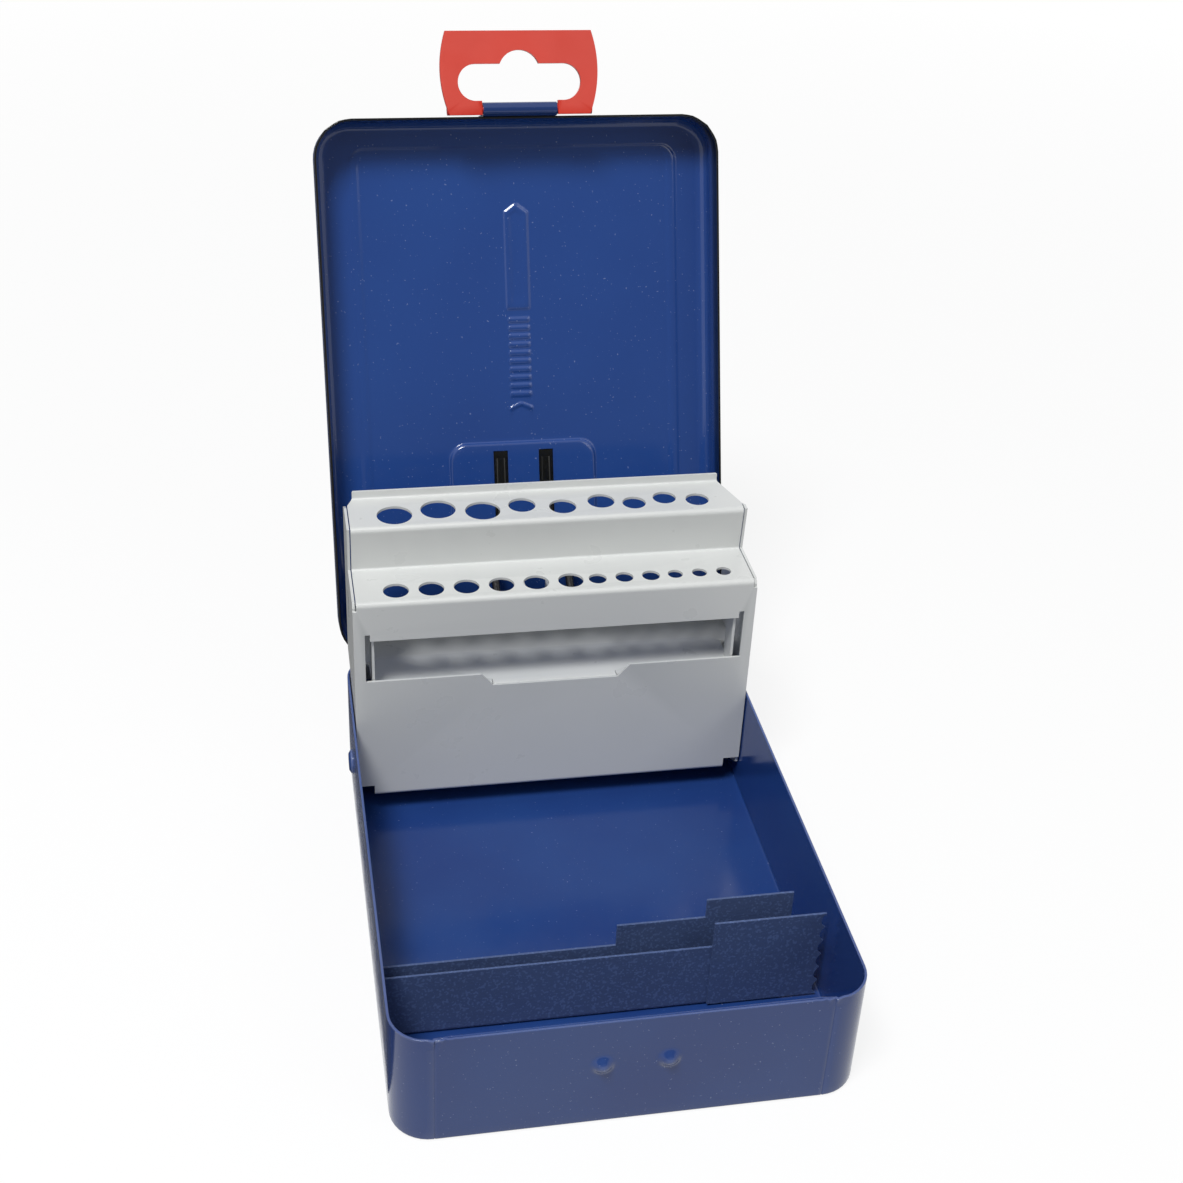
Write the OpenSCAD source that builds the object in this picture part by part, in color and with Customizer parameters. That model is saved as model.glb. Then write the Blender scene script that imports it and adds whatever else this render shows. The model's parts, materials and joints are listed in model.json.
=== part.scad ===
// Sheet-metal drill bit case with a hinged lid, a self-raising two-tier rack and a fold-over hang tab.
// Lid drawn open, rack drawn upright. Origin at the bottom centre of the base, X to the right, Y to the rear.

/* [Base] */
// Outside width of the base
base_w = 112; // [106:1:124]
// Outside length of the base, front to rear
base_l = 149.5; // [146:0.5:170]
// Height of the base's walls
base_h = 32.5; // [31:0.5:36]
// Outside radius of the base's upright corners
corner_r = 9.5; // [8:0.5:11]
// Outside radius where the base's walls run into its floor
floor_bend_r = 1; // [1:0.25:3]
// Thickness of the enamelled sheet of base, lid and divider
sheet_t = 0.6; // [0.5:0.05:0.7]
// Height of the folded hem inside the front rim
hem_h = 3; // [2:0.5:5]
// Width of the seam groove at each end of the front panel
seam_w = 0.4; // [0.2:0.1:0.8]
// Depth of the seam groove
seam_depth = 0.25; // [0.1:0.05:0.35]
// Radius of the two latch pips at their foot
pip_r = 2.5; // [2:0.1:3]
// Height of the latch pips
pip_h = 1.6; // [1.4:0.1:1.8]
// Distance of each latch pip from the middle
pip_x = 7.8; // [7.6:0.1:12]
// Height of the latch pips above the case's bottom
pip_z = 19.1; // [19.1:0.1:20.5]

/* [Divider] */
// Distance from the base's front face to the divider's rear wall
divider_rear = 40; // [38:0.5:44]
// Width of the channel between the divider's two walls
channel_w = 7.3; // [6:0.1:14]
// Height of the divider's front wall
front_wall_h = 20.3; // [18:0.1:26]
// Height of the rear wall's low step, from the case's bottom
step_low_h = 16.8; // [12:0.1:19]
// Height of the rear wall's middle step
step_mid_h = 23.3; // [20:0.1:26]
// Height of the rear wall's high step
step_high_h = 29; // [27:0.1:30]
// Place of the step from low to middle, from the case's middle
step_mid_x = 3.1; // [-5:0.2:12]
// Place of the step from middle to high
step_high_x = 25.5; // [20:0.1:30]
// Right end of the high step
step_end_x = 47.7; // [42:0.1:50]
// Gap between the divider's ends and the base's side walls
divider_gap = 0.5; // [0.3:0.1:2]
// Height of the gate plate's top edge
gate_top = 28.4; // [26:0.2:30.4]
// Height of the gate plate's lower edge
gate_bottom = 1.4; // [1.2:0.2:8]
// Left edge of the gate plate, from the case's middle
gate_x = 25.6; // [20:0.2:30]
// Number of nibbles along the gate plate's right edge
gate_nibbles = 6; // [4:1:8]

/* [Lid] */
// Angle that the lid opens from closed
lid_open = 111; // [105:1:115]
// Inside depth of the lid
lid_depth = 13.4; // [13.2:0.1:16]
// Overlap of the lid's rim over the base's walls
rim_overlap = 2.8; // [2:0.1:3.5]
// Gap between the lid's side walls and the base
lid_side_gap = 0.45; // [0.35:0.05:0.8]
// Gap between the lid's front wall and the base
lid_front_gap = 0.3; // [0.3:0.05:0.6]
// Outside radius where the lid's walls run into its panel
lid_bend_r = 3.5; // [2:0.25:4]
// Distance from the lid's front face to the outer line of the panel's bead
bead_front = 7.3; // [6:0.1:10]
// Distance from the hinge pin to the lower end of the panel's bead
bead_near = 10; // [8:0.5:14]
// Distance from the lid's side faces to the panel's bead
bead_side = 9.5; // [7:0.1:12]
// Width of the panel's bead
bead_w = 3.2; // [2.6:0.2:5]
// Height of the panel's beads and embossing
bead_h = 0.4; // [0.2:0.05:0.45]
// Distance from the hinge pin to the far edge of the raised field
field_far = 60; // [59:0.5:64]
// Distance from the hinge pin to the near edge of the raised field
field_near = 20; // [17:0.5:22]
// Half of the width of the raised field
field_half_w = 21.5; // [18:0.5:26]
// Height of the raised field over the panel
field_h = 1; // [0.8:0.05:1.1]
// Distance from the lid's front face to the tip of the embossed drill
motif_front = 23; // [20:0.5:26]
// Distance from the raised field to the embossed drill's shank
motif_gap = 13; // [9:0.5:16]
// Number of ribs along the embossed drill's shank
motif_ribs = 10; // [6:1:11]
// Spacing of the ribs along the embossed drill's shank
motif_rib_pitch = 2.4; // [2:0.1:2.6]
// Width of the embossed drill's shaft
motif_w = 7.5; // [6:0.5:9]

/* [Hinge] */
// Distance of the hinge pin behind the base's rear face
hinge_back = 2.2; // [2.2:0.05:2.6]
// Radius of the hinge pin
hinge_pin_r = 1.2; // [1:0.05:1.2]
// Length of the hinge strip
hinge_len = 84; // [70:1:90]
// Number of knuckles along the hinge strip
hinge_knuckles = 7; // [5:2:9]
// Gap between neighbouring knuckles
knuckle_gap = 0.3; // [0.2:0.05:0.5]
// Height of each hinge leaf on its wall
leaf_h = 9; // [7:0.5:11]

/* [Rack] */
// Thickness of the rack's sheet
rack_t = 0.7; // [0.6:0.05:0.8]
// Gap between the rack's cheeks and the base's side walls
rack_side_gap = 0.35; // [0.3:0.05:0.8]
// Distance from the base's rear face to the rack's pivot
pivot_in = 22; // [21.8:0.1:24]
// Height of the rack's pivot above the case's bottom
pivot_z = 12; // [12:0.1:13]
// Distance of the rack's front face ahead of its pivot
face_ahead = 9.9; // [9:0.1:10]
// Height of the rack's lower edge above the case's bottom
face_bottom = 6.9; // [6.8:0.1:8]
// Height of the front tier
tier_front_z = 71.3; // [69:0.1:74]
// Depth of the front tier
tier_front_depth = 17.4; // [16.5:0.1:18]
// Height of the rear tier
tier_rear_z = 84.6; // [82:0.1:87]
// Depth of the rear tier
tier_rear_depth = 16; // [15:0.1:16.2]
// Forward lean of the riser between the tiers, at its top
riser_lean = 1.2; // [0:0.1:1.6]
// Height of the rear tier's upturned lip
lip_h = 2.2; // [2:0.1:4]
// Length of the slanted corner at the rear tier's right end
slant_right_l = 14; // [8:0.5:15]
// Width of the slanted corner at the rear tier's right end
slant_right_w = 4.4; // [3:0.1:6]
// Length of the slanted corner at the rear tier's left end
slant_left_l = 4.9; // [3:0.1:8]
// Width of the slanted corner at the rear tier's left end
slant_left_w = 2.1; // [1.5:0.1:4]
// Bend radius of the rack's sheet, at mid thickness
rack_bend_r = 0.9; // [0.8:0.1:1.2]
// Height of the window's lower edge
window_bottom = 46.2; // [45:0.1:48]
// Height of the window's upper edge
window_top = 59.4; // [57:0.1:61]
// Distance from the rack's sides to the window
window_side = 3; // [2.8:0.1:6]
// Height of the front shelf's top face
shelf_front_z = 42.4; // [41:0.1:44]
// Depth of the front shelf behind the rack's face
shelf_front_depth = 16.6; // [14:0.1:16.8]
// Half of the width of the shelf's neck on the face
shelf_neck = 17.4; // [14:0.1:20]
// Height of the rear shelf's top face
shelf_rear_z = 40.4; // [39:0.1:41]
// Radius of the cheeks' rounded foot about the pivot
cheek_foot_r = 6.5; // [5:0.1:7]

/* [Tool holes] */
// Diameter of the front tier's large holes
hole_front_a = 6.9; // [6:0.1:7.4]
// Diameter of the front tier's middle holes
hole_front_b = 4.9; // [4:0.1:5.5]
// Diameter of the front tier's small holes
hole_front_c = 4.1; // [3:0.1:4.6]
// Diameter of the rear tier's large holes
hole_rear_a = 9.6; // [8:0.1:9.8]
// Diameter of the rear tier's middle holes
hole_rear_b = 7.5; // [6:0.1:8.5]
// Diameter of the rear tier's small holes
hole_rear_c = 6.5; // [5:0.1:7]
// Distance of the front row's first hole from the rack's middle
first_front = 43.1; // [42:0.05:44]
// Spacing of the front tier's large holes
pitch_front_a = 9.45; // [9:0.05:9.6]
// Spacing of the front tier's middle holes
pitch_front_b = 7.4; // [7:0.05:7.6]
// Spacing of the front tier's small holes
pitch_front_c = 6.8; // [6.2:0.05:7]
// Distance of the rear row's first hole from the rack's middle
first_rear = 41.8; // [41:0.05:43]
// Spacing of the rear tier's large holes
pitch_rear_a = 12; // [11.5:0.05:12.2]
// Spacing of the rear tier's middle holes
pitch_rear_b = 11.05; // [10:0.05:11.3]
// Spacing of the rear tier's small holes
pitch_rear_c = 8.95; // [8:0.05:9.2]
// Distance of the front row behind the front tier's front bend
row_front = 5.9; // [5.5:0.1:8]
// Distance of the rear row's nearer holes behind the riser
row_rear = 6.4; // [6.3:0.1:7]
// Stagger between neighbouring holes of the rear row
row_stagger = 1.9; // [0:0.1:2]

/* [Rivets] */
// Radius of the pivot rivets' shank
rivet_r = 2; // [1.5:0.1:2.5]
// Radius of the pivot rivets' heads
rivet_head_r = 3.4; // [3:0.1:4]
// Height of the pivot rivets' outer heads
rivet_head_h = 1; // [0.6:0.1:1.2]

/* [Lift link] */
// Distance of the link's pin from the hinge pin, along the panel
link_s = 33.5; // [33.2:0.1:34.5]
// Depth of the link's pin behind the lid's rim plane
link_depth = 10.5; // [10.3:0.05:10.6]
// Distance of the link's cross bar behind the rack's rear face, with the lid open
bar_behind = 3.75; // [3.6:0.05:3.9]
// Height of the link's cross bar above the rear shelf, with the lid open
bar_above = 3.8; // [3.7:0.05:4.2]
// Height that the cross bar rises in the guide lugs as the lid moves
bar_rise = 3.6; // [3.4:0.1:4]
// Height that the cross bar dips in the guide lugs at the start
bar_dip = 0.3; // [0.2:0.1:0.5]
// Radius of the link's wire
wire_r = 1.2; // [1:0.05:1.3]
// Bend radius of the link's wire at mid thickness
wire_bend_r = 2.2; // [1.8:0.1:3]
// Distance of each slot in the lid from the middle
slot_x = 6.75; // [6.7:0.05:7]
// Width of the slots in the lid
slot_w = 4.2; // [3.4:0.1:4.2]
// Distance from the hinge pin to the far ends of the slots
slot_far = 57.7; // [50:0.1:58]
// Distance from the hinge pin to the near ends of the slots
slot_near = 26.5; // [24:0.1:28]
// Gap between the bracket's ears and the slots
slot_gap = 0.2; // [0.1:0.05:0.3]
// Distance of each guide lug on the rack from the middle
lug_x = 3.6; // [2:0.1:3.8]

/* [Hang tab] */
// Thickness of the hang tab's plate
tab_t = 1.4; // [1.2:0.1:1.5]
// Radius of the tab's axle inside the strap
axle_r = 1.2; // [1.1:0.05:1.4]
// Distance from the axle to the tab's far edge
tab_reach = 20.7; // [20:0.1:26]
// Width of the tab at its ends
tab_w = 40.4; // [38:0.1:44]
// Bulge of each side of the tab
tab_bulge = 1.7; // [0.5:0.1:3]
// Half of the length of the hang slot
hang_half_l = 17.1; // [15:0.1:17.4]
// Distance from the axle to the hang slot's near edge
hang_near = 2.2; // [2.1:0.1:2.6]
// Distance from the axle to the hang slot's far edge
hang_far = 12; // [12:0.1:13]
// Distance from the axle to the top of the slot's round lobe
lobe_far = 15.6; // [15:0.1:17]
// Radius of the slot's round lobe
lobe_r = 5.8; // [4:0.1:6.5]
// Width of the strap that holds the tab
strap_w = 20.6; // [14:0.1:22]
// Height of the axle in front of the lid's rim plane
axle_proud = 1.5; // [1.4:0.1:1.6]

/* [Hidden] */
$fn = 48;

// Running clearance of a pin in its bore
running_gap = 0.05;
// Free space round the lift link's bar in the guide lugs
guide_gap = 0.4;
// Small overlap that joins solids of one piece
lap = 0.2;

rear_y = base_l / 2;
front_y = -base_l / 2;
right_angle = 90;
lean = lid_open - right_angle;
hinge_y = rear_y + hinge_back;
hinge_z = base_h - rim_overlap;
knuckle_r = hinge_pin_r + running_gap + sheet_t;
knuckle_len = hinge_len / hinge_knuckles;

// Lid outline in its own frame: X across, Y from the hinge pin along the panel, Z out of the open side
lid_half_w = base_w / 2 + lid_side_gap + sheet_t;
lid_rear = 0.8;
lid_front = hinge_y - front_y + lid_front_gap + sheet_t;
lid_r = corner_r + lid_side_gap + sheet_t;
panel_z = -lid_depth;
field_z = panel_z + field_h;
bead_far = lid_front - bead_front;
bead_half_w = lid_half_w - bead_side;
motif_tip = lid_front - motif_front;

pivot_y = rear_y - pivot_in;
face_y = pivot_y - face_ahead;
riser_y = face_y + tier_front_depth;
riser_top_y = riser_y - riser_lean;
rack_rear_y = riser_y + tier_rear_depth;
rack_half_w = base_w / 2 - sheet_t - rack_side_gap;
cheek_in = rack_half_w - rack_t;
window_half_w = rack_half_w - window_side;

divider_y = front_y + divider_rear;
channel_y = divider_y - channel_w;
divider_half = base_w / 2 - sheet_t - divider_gap;

// Radial clearance of the tab's axle in the strap
axle_gap = 0.08;
// Thickness of the strap
strap_t = 0.57;
// Free space between the tab's bars and the lid's front face
bar_gap = 0.3;
strap_r = axle_r + axle_gap + strap_t;
axle_s = lid_front + strap_r;
bar_r = strap_r - bar_gap;

// Place of the link's pin and of its cross bar in the open case, as [Y, Z]
pin_at = [hinge_y + link_s * sin(lean) + link_depth * cos(lean), hinge_z + link_s * cos(lean) - link_depth * sin(lean)];
bar_at = [rack_rear_y + bar_behind, shelf_rear_z + bar_above];
link_len = norm(bar_at - pin_at);
link_turn = atan2(bar_at[1] - pin_at[1], bar_at[0] - pin_at[0]);

// Direction from a to b, of length one
function dir(a, b) = (b - a) / norm(b - a);
// The direction turned a quarter turn to the left
function left(v) = [-v[1], v[0]];
// Points of the curve that runs off to the left of a bent path, with a round arc at each inner corner
function side_path(p, r, off, steps = 6) = [for (i = [0:len(p) - 1]) each
    i == 0 ? [p[0] + off * left(dir(p[0], p[1]))]
    : i == len(p) - 1 ? [p[i] + off * left(dir(p[i - 1], p[i]))]
    : bend_arc(p[i], dir(p[i - 1], p[i]), dir(p[i], p[i + 1]), r, off, steps)];
// Arc of one bend at corner c, between the directions u and v
function bend_arc(c, u, v, r, off, steps) =
    let (side = sign(u[0] * v[1] - u[1] * v[0]), turn = side * acos(u * v),
        centre = c - u * r * tan(abs(turn) / 2) + side * r * left(u),
        start = atan2(-side * left(u)[1], -side * left(u)[0]))
    [for (k = [0:steps]) centre + (r - side * off) * [cos(start + turn * k / steps), sin(start + turn * k / steps)]];
function reversed(p) = [for (i = [len(p) - 1:-1:0]) p[i]];
// Running totals of a list
function sums(v, i = 0, t = 0) = i == len(v) ? [] : concat([t + v[i]], sums(v, i + 1, t + v[i]));

// Cross-section of a bent sheet whose middle follows the path
module bent_sheet(path, t, r) {
    polygon(concat(side_path(path, r, t / 2), reversed(side_path(path, r, -t / 2))));
}

// Extrudes a drawing of (Y, Z) along X, from x0 to x1
module along_x(x0, x1) {
    translate([x0, 0, 0]) rotate([90, 0, 90]) linear_extrude(x1 - x0) children();
}

// Rounded rectangle from (x0, y0) to (x1, y1)
module round_rect(x0, y0, x1, y1, r) {
    translate([x0 + r, y0]) square([x1 - x0 - 2 * r, y1 - y0]);
    translate([x0, y0 + r]) square([x1 - x0, y1 - y0 - 2 * r]);
    for (x = [x0 + r, x1 - r], y = [y0 + r, y1 - r]) translate([x, y]) circle(r);
}

// Half section of a tray's wall and floor: X outwards from the corner's axis, Y upwards
module wall_section(r, h, bend, t) {
    difference() {
        quarter_block(r, h, bend);
        translate([0, t]) quarter_block(r - t, h, bend - t);
    }
}
module quarter_block(r, h, bend) {
    square([r - bend, h]);
    translate([0, bend]) square([r, h - bend]);
    translate([r - bend, bend]) circle(bend);
}

// Open tray from (x0, y0) to (x1, y1) with its floor at z = 0 and round upright corners
module tray(x0, y0, x1, y1, h, r, bend, t) {
    run_x = x1 - x0 - 2 * r;
    run_y = y1 - y0 - 2 * r;
    translate([x0 + r, y0 + r, 0]) {
        cube([run_x, run_y, t]);
        rotate([0, 0, 180]) rotate_extrude(angle = 90) wall_section(r, h, bend, t);
        rotate([90, 0, 90]) linear_extrude(run_x) mirror([1, 0]) wall_section(r, h, bend, t);
        rotate([90, 0, 180]) linear_extrude(run_y) wall_section(r, h, bend, t);
    }
    translate([x1 - r, y0 + r, 0]) {
        rotate([0, 0, -90]) rotate_extrude(angle = 90) wall_section(r, h, bend, t);
        translate([0, run_y, 0]) rotate([90, 0, 0]) linear_extrude(run_y) wall_section(r, h, bend, t);
    }
    translate([x1 - r, y1 - r, 0]) rotate_extrude(angle = 90) wall_section(r, h, bend, t);
    translate([x0 + r, y1 - r, 0]) {
        rotate([0, 0, 90]) rotate_extrude(angle = 90) wall_section(r, h, bend, t);
        rotate([90, 0, 90]) linear_extrude(run_x) wall_section(r, h, bend, t);
    }
}

// Places what is drawn in the lid's own frame on the open lid
module on_lid() {
    translate([0, hinge_y, hinge_z]) rotate([right_angle - lean, 0, 0]) children();
}

// Round dome of foot radius r and height h, pushed out of a wall along -Y
dome_r = (pip_r * pip_r + pip_h * pip_h) / (2 * pip_h);
module pip_outside(x) {
    translate([x, front_y + sheet_t, pip_z]) intersection() {
        translate([0, dome_r - pip_h - sheet_t, 0]) sphere(dome_r);
        translate([0, -dome_r, 0]) cube([2 * dome_r, 2 * dome_r, 2 * dome_r], center = true);
    }
}
module pip_inside(x) {
    translate([x, front_y + dome_r - pip_h, pip_z]) sphere(dome_r - sheet_t);
}

module base_tray() {
    color("#2E4880") difference() {
        union() {
            tray(-base_w / 2, front_y, base_w / 2, rear_y, base_h, corner_r, floor_bend_r, sheet_t);
            translate([-base_w / 2 + corner_r, front_y + sheet_t, base_h - hem_h])
                cube([base_w - 2 * corner_r, sheet_t, hem_h]);
            for (x = [-pip_x, pip_x]) pip_outside(x);
        }
        for (x = [-pip_x, pip_x]) pip_inside(x);
        for (side = [-1, 1]) {
            translate([side * (base_w / 2 - corner_r) - seam_w / 2, front_y - lap, floor_bend_r])
                cube([seam_w, seam_depth + lap, base_h]);
            translate([side * (base_w / 2 - sheet_t / 2), pivot_y, pivot_z]) rotate([0, 90, 0])
                cylinder(r = rivet_r + running_gap / 2, h = 2 * sheet_t, center = true);
        }
    }
}

// Folded channel that stands across the base: low front wall, floor strip and stepped rear wall
module divider_channel() {
    color("#22356A") difference() {
        union() {
        along_x(-divider_half, gate_x + 5)
            bent_sheet([[channel_y, front_wall_h], [channel_y, sheet_t * 1.5],
                [divider_y, sheet_t * 1.5], [divider_y, step_low_h]], sheet_t, 1);
        along_x(gate_x + 5, step_end_x)
            bent_sheet([[divider_y - channel_w / 2, sheet_t * 1.5], [divider_y, sheet_t * 1.5],
                [divider_y, step_low_h]], sheet_t, 1);
        translate([step_mid_x, divider_y - sheet_t / 2, step_low_h - lap])
            cube([step_high_x - step_mid_x, sheet_t, step_mid_h - step_low_h + lap]);
        translate([step_high_x, divider_y - sheet_t / 2, step_low_h - lap])
            cube([step_end_x - step_high_x, sheet_t, step_high_h - step_low_h + lap]);
        }
        translate([-base_w / 2, channel_y - sheet_t, 0])
            cube([floor_bend_r + 0.1, channel_w + 2 * sheet_t, floor_bend_r + 0.3]);
    }
}

// Plate in front of the channel's front wall, with a nibbled right edge
module divider_gate() {
    gate_end = divider_half - 1;
    nibble = (gate_top - gate_bottom) / gate_nibbles;
    color("#22356A") difference() {
        translate([gate_x, channel_y - 1.5 * sheet_t, gate_bottom])
            cube([gate_end - gate_x, sheet_t, gate_top - gate_bottom]);
        for (i = [0:gate_nibbles - 1])
            translate([gate_end + nibble * 0.35, channel_y - sheet_t, gate_bottom + (i + 0.5) * nibble])
                rotate([90, 0, 0]) cylinder(r = nibble * 0.6, h = 3 * sheet_t, center = true);
    }
}

// True for a knuckle that belongs to the base's leaf
function on_base(i) = i % 2 == 0;

// Knuckles of one hinge leaf round the pin, in the lid's frame or the base's
module knuckles(base) {
    for (i = [0:hinge_knuckles - 1]) if (on_base(i) == base)
        translate([-hinge_len / 2 + i * knuckle_len + knuckle_gap / 2, 0, 0]) rotate([0, 90, 0])
            difference() {
                cylinder(r = knuckle_r, h = knuckle_len - knuckle_gap);
                translate([0, 0, -1]) cylinder(r = hinge_pin_r + running_gap, h = knuckle_len + 2);
            }
}
// Plate of one leaf at the distance y from the pin, with teeth up to the pin's height
module leaf(base, y) {
    translate([-hinge_len / 2, y, -leaf_h - leaf_clear]) cube([hinge_len, sheet_t, leaf_h]);
    for (i = [0:hinge_knuckles - 1]) if (on_base(i) == base)
        translate([-hinge_len / 2 + i * knuckle_len + knuckle_gap / 2, y, -leaf_clear])
            cube([knuckle_len - knuckle_gap, sheet_t, leaf_clear]);
}
module pin_bore() {
    rotate([0, 90, 0]) cylinder(r = hinge_pin_r + running_gap, h = hinge_len + 4, center = true);
}

leaf_clear = knuckle_r + 0.4;
module hinge_leaf_base() {
    color("#2E4880") translate([0, hinge_y, hinge_z]) difference() {
        union() {
            knuckles(true);
            leaf(true, -hinge_back);
        }
        pin_bore();
    }
}

module hinge_leaf_lid() {
    color("#2E4880") on_lid() difference() {
        union() {
            knuckles(false);
            leaf(false, lid_rear - sheet_t);
        }
        pin_bore();
    }
}

module hinge_pin() {
    color("silver") translate([0, hinge_y, hinge_z]) rotate([0, 90, 0])
        cylinder(r = hinge_pin_r, h = hinge_len + 1, center = true);
}

// Rivet on the right side, from the base's outer face inwards, with a spacer collar between the sheets
module pivot_rivet(side) {
    wall = base_w / 2;
    collar = rack_side_gap - 0.15;
    color("silver") translate([side * wall, pivot_y, pivot_z]) rotate([0, -side * 90, 0]) rotate_extrude()
        polygon([[0, -rivet_head_h], [rivet_head_r * 0.7, -rivet_head_h], [rivet_head_r, -rivet_head_h * 0.4],
            [rivet_head_r, 0], [rivet_r, 0], [rivet_r, sheet_t], [rivet_head_r, sheet_t],
            [rivet_head_r, sheet_t + collar], [rivet_r, sheet_t + collar],
            [rivet_r, sheet_t + rack_side_gap + rack_t + 0.15], [rivet_head_r, sheet_t + rack_side_gap + rack_t + 0.15],
            [rivet_head_r, sheet_t + rack_side_gap + rack_t + 0.7],
            [rivet_head_r * 0.6, sheet_t + rack_side_gap + rack_t + 1.1], [0, sheet_t + rack_side_gap + rack_t + 1.1]]);
}
module pivot_rivet_left() {
    pivot_rivet(-1);
}
module pivot_rivet_right() {
    pivot_rivet(1);
}

// Ring of the bead along the panel's edge
module bead_ring(grow) {
    difference() {
        round_rect(-bead_half_w - grow, bead_near - grow, bead_half_w + grow, bead_far + grow, 4);
        round_rect(-bead_half_w + bead_w + grow, bead_near + bead_w + grow, bead_half_w - bead_w - grow,
            bead_far - bead_w - grow, 3);
    }
}
// Outline of a generic drill: a pointed shaft above and a ribbed shank below
module drill_motif() {
    shank = field_far + motif_gap;
    shaft = shank + motif_ribs * motif_rib_pitch + 1.6;
    difference() {
        polygon([[-motif_w / 2, shaft], [motif_w / 2, shaft], [motif_w / 2, motif_tip - 3], [0, motif_tip],
            [-motif_w / 2, motif_tip - 3]]);
        polygon([[-motif_w / 2 + 1.2, shaft + 1.2], [motif_w / 2 - 1.2, shaft + 1.2],
            [motif_w / 2 - 1.2, motif_tip - 3.8], [0, motif_tip - 1.6], [-motif_w / 2 + 1.2, motif_tip - 3.8]]);
    }
    for (i = [0:motif_ribs - 1]) translate([-motif_w / 2 + 0.5, shank + i * motif_rib_pitch])
        square([motif_w - 1, motif_rib_pitch / 2]);
}

module lid_pan() {
    color("#2E4880") on_lid() difference() {
        union() {
            translate([0, 0, panel_z - sheet_t]) tray(-lid_half_w, lid_rear, lid_half_w, lid_front,
                lid_depth + sheet_t, lid_r, lid_bend_r, sheet_t);
            translate([0, 0, panel_z - lap]) linear_extrude(bead_h + lap) {
                bead_ring(0);
                drill_motif();
            }
            translate([0, 0, panel_z - lap]) linear_extrude(field_h + lap)
                round_rect(-field_half_w, field_near, field_half_w, field_far, 5);
        }
        translate([0, 0, panel_z - 2 * sheet_t]) linear_extrude(sheet_t + bead_h) bead_ring(-0.6);
        translate([0, 0, panel_z - 2 * sheet_t]) linear_extrude(sheet_t + field_h)
            round_rect(-field_half_w + sheet_t, field_near + sheet_t, field_half_w - sheet_t,
                field_far - sheet_t, 4.5);
        for (x = [-slot_x, slot_x]) translate([x - slot_w / 2, slot_near, panel_z - 1])
            cube([slot_w, slot_far - slot_near, 4]);
        translate([-hinge_len / 2 - 1, lid_rear - 1, -leaf_clear]) cube([hinge_len + 2, 2 + sheet_t, leaf_clear + 1]);
    }
}

// Strap on the lid's front wall, rolled round the hang tab's axle
module tab_strap() {
    color("#2E4880") on_lid() along_x(-strap_w / 2, strap_w / 2) difference() {
        union() {
            translate([axle_s, axle_proud]) circle(strap_r);
            translate([lid_front, -9]) square([strap_t, 9 + axle_proud]);
        }
        translate([axle_s, axle_proud]) circle(axle_r + axle_gap);
    }
}

// Moulded bracket in the pocket behind the lid's raised field, with two ears through the slots
ear_w = slot_w - 2 * slot_gap;
// Free space between each ear and the link's bend beside it
ear_room = 0.1;
link_half_w = slot_x + ear_w / 2 + ear_room + wire_bend_r;
ear_r = wire_r + running_gap + 1.2;
link_z = -link_depth;
module link_bracket() {
    plate_t = field_h;
    color("#20201C") on_lid() {
        translate([0, 0, panel_z - sheet_t]) linear_extrude(plate_t)
            round_rect(-field_half_w + sheet_t + 0.3, field_near + sheet_t + 0.3, field_half_w - sheet_t - 0.3,
                field_far - sheet_t - 0.3, 4.2);
        for (x = [-slot_x, slot_x]) difference() {
            union() {
                translate([x - ear_w / 2, slot_near + slot_gap, panel_z - sheet_t + plate_t - lap])
                    cube([ear_w, slot_far - slot_near - 2 * slot_gap, sheet_t + lap - 0.1]);
                along_x(x - ear_w / 2, x + ear_w / 2) {
                    translate([link_s, link_z]) circle(ear_r);
                    polygon([[link_s - ear_r - 2.5, field_z - 0.3], [link_s - ear_r * 0.95, link_z],
                        [link_s + ear_r * 0.95, link_z], [link_s + ear_r + 2.5, field_z - 0.3]]);
                }
                translate([x, slot_far - slot_gap - ear_w / 2, field_z + 0.4 - ear_w / 2]) intersection() {
                    rotate([90, 0, 0]) cylinder(r = ear_w / 2, h = slot_far - link_s - ear_r - 2);
                    translate([0, 0, ear_w - 1.2]) cube([2 * ear_w, 2 * slot_far, ear_w], center = true);
                }
            }
            translate([x, link_s, link_z]) rotate([0, 90, 0])
                cylinder(r = wire_r + running_gap, h = 3 * ear_w, center = true);
        }
    }
}

// Wire bail: bent-in ends at the bracket's ears and one cross bar at the rack's lugs
module lift_link() {
    half = link_half_w;
    color("#2A2A2A") on_lid() translate([0, link_s, link_z])
        rotate([link_turn - (right_angle - lean), 0, 0]) {
            for (side = [-1, 1]) {
                translate([side * (slot_x - ear_w / 2 - 0.5), 0, 0]) rotate([0, side * 90, 0])
                    cylinder(r = wire_r, h = half - wire_bend_r - slot_x + ear_w / 2 + 0.5);
                translate([side * half, wire_bend_r, 0]) rotate([-90, 0, 0])
                    cylinder(r = wire_r, h = link_len - 2 * wire_bend_r);
                translate([side * (half - wire_bend_r), wire_bend_r, 0]) mirror([side < 0 ? 1 : 0, 0, 0])
                    rotate([0, 0, -90]) rotate_extrude(angle = 90) translate([wire_bend_r, 0]) circle(wire_r);
                translate([side * (half - wire_bend_r), link_len - wire_bend_r, 0])
                    mirror([side < 0 ? 1 : 0, 0, 0])
                    rotate_extrude(angle = 90) translate([wire_bend_r, 0]) circle(wire_r);
            }
            translate([0, link_len, 0]) rotate([0, 90, 0])
                cylinder(r = wire_r, h = 2 * (half - wire_bend_r), center = true);
        }
}

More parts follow.
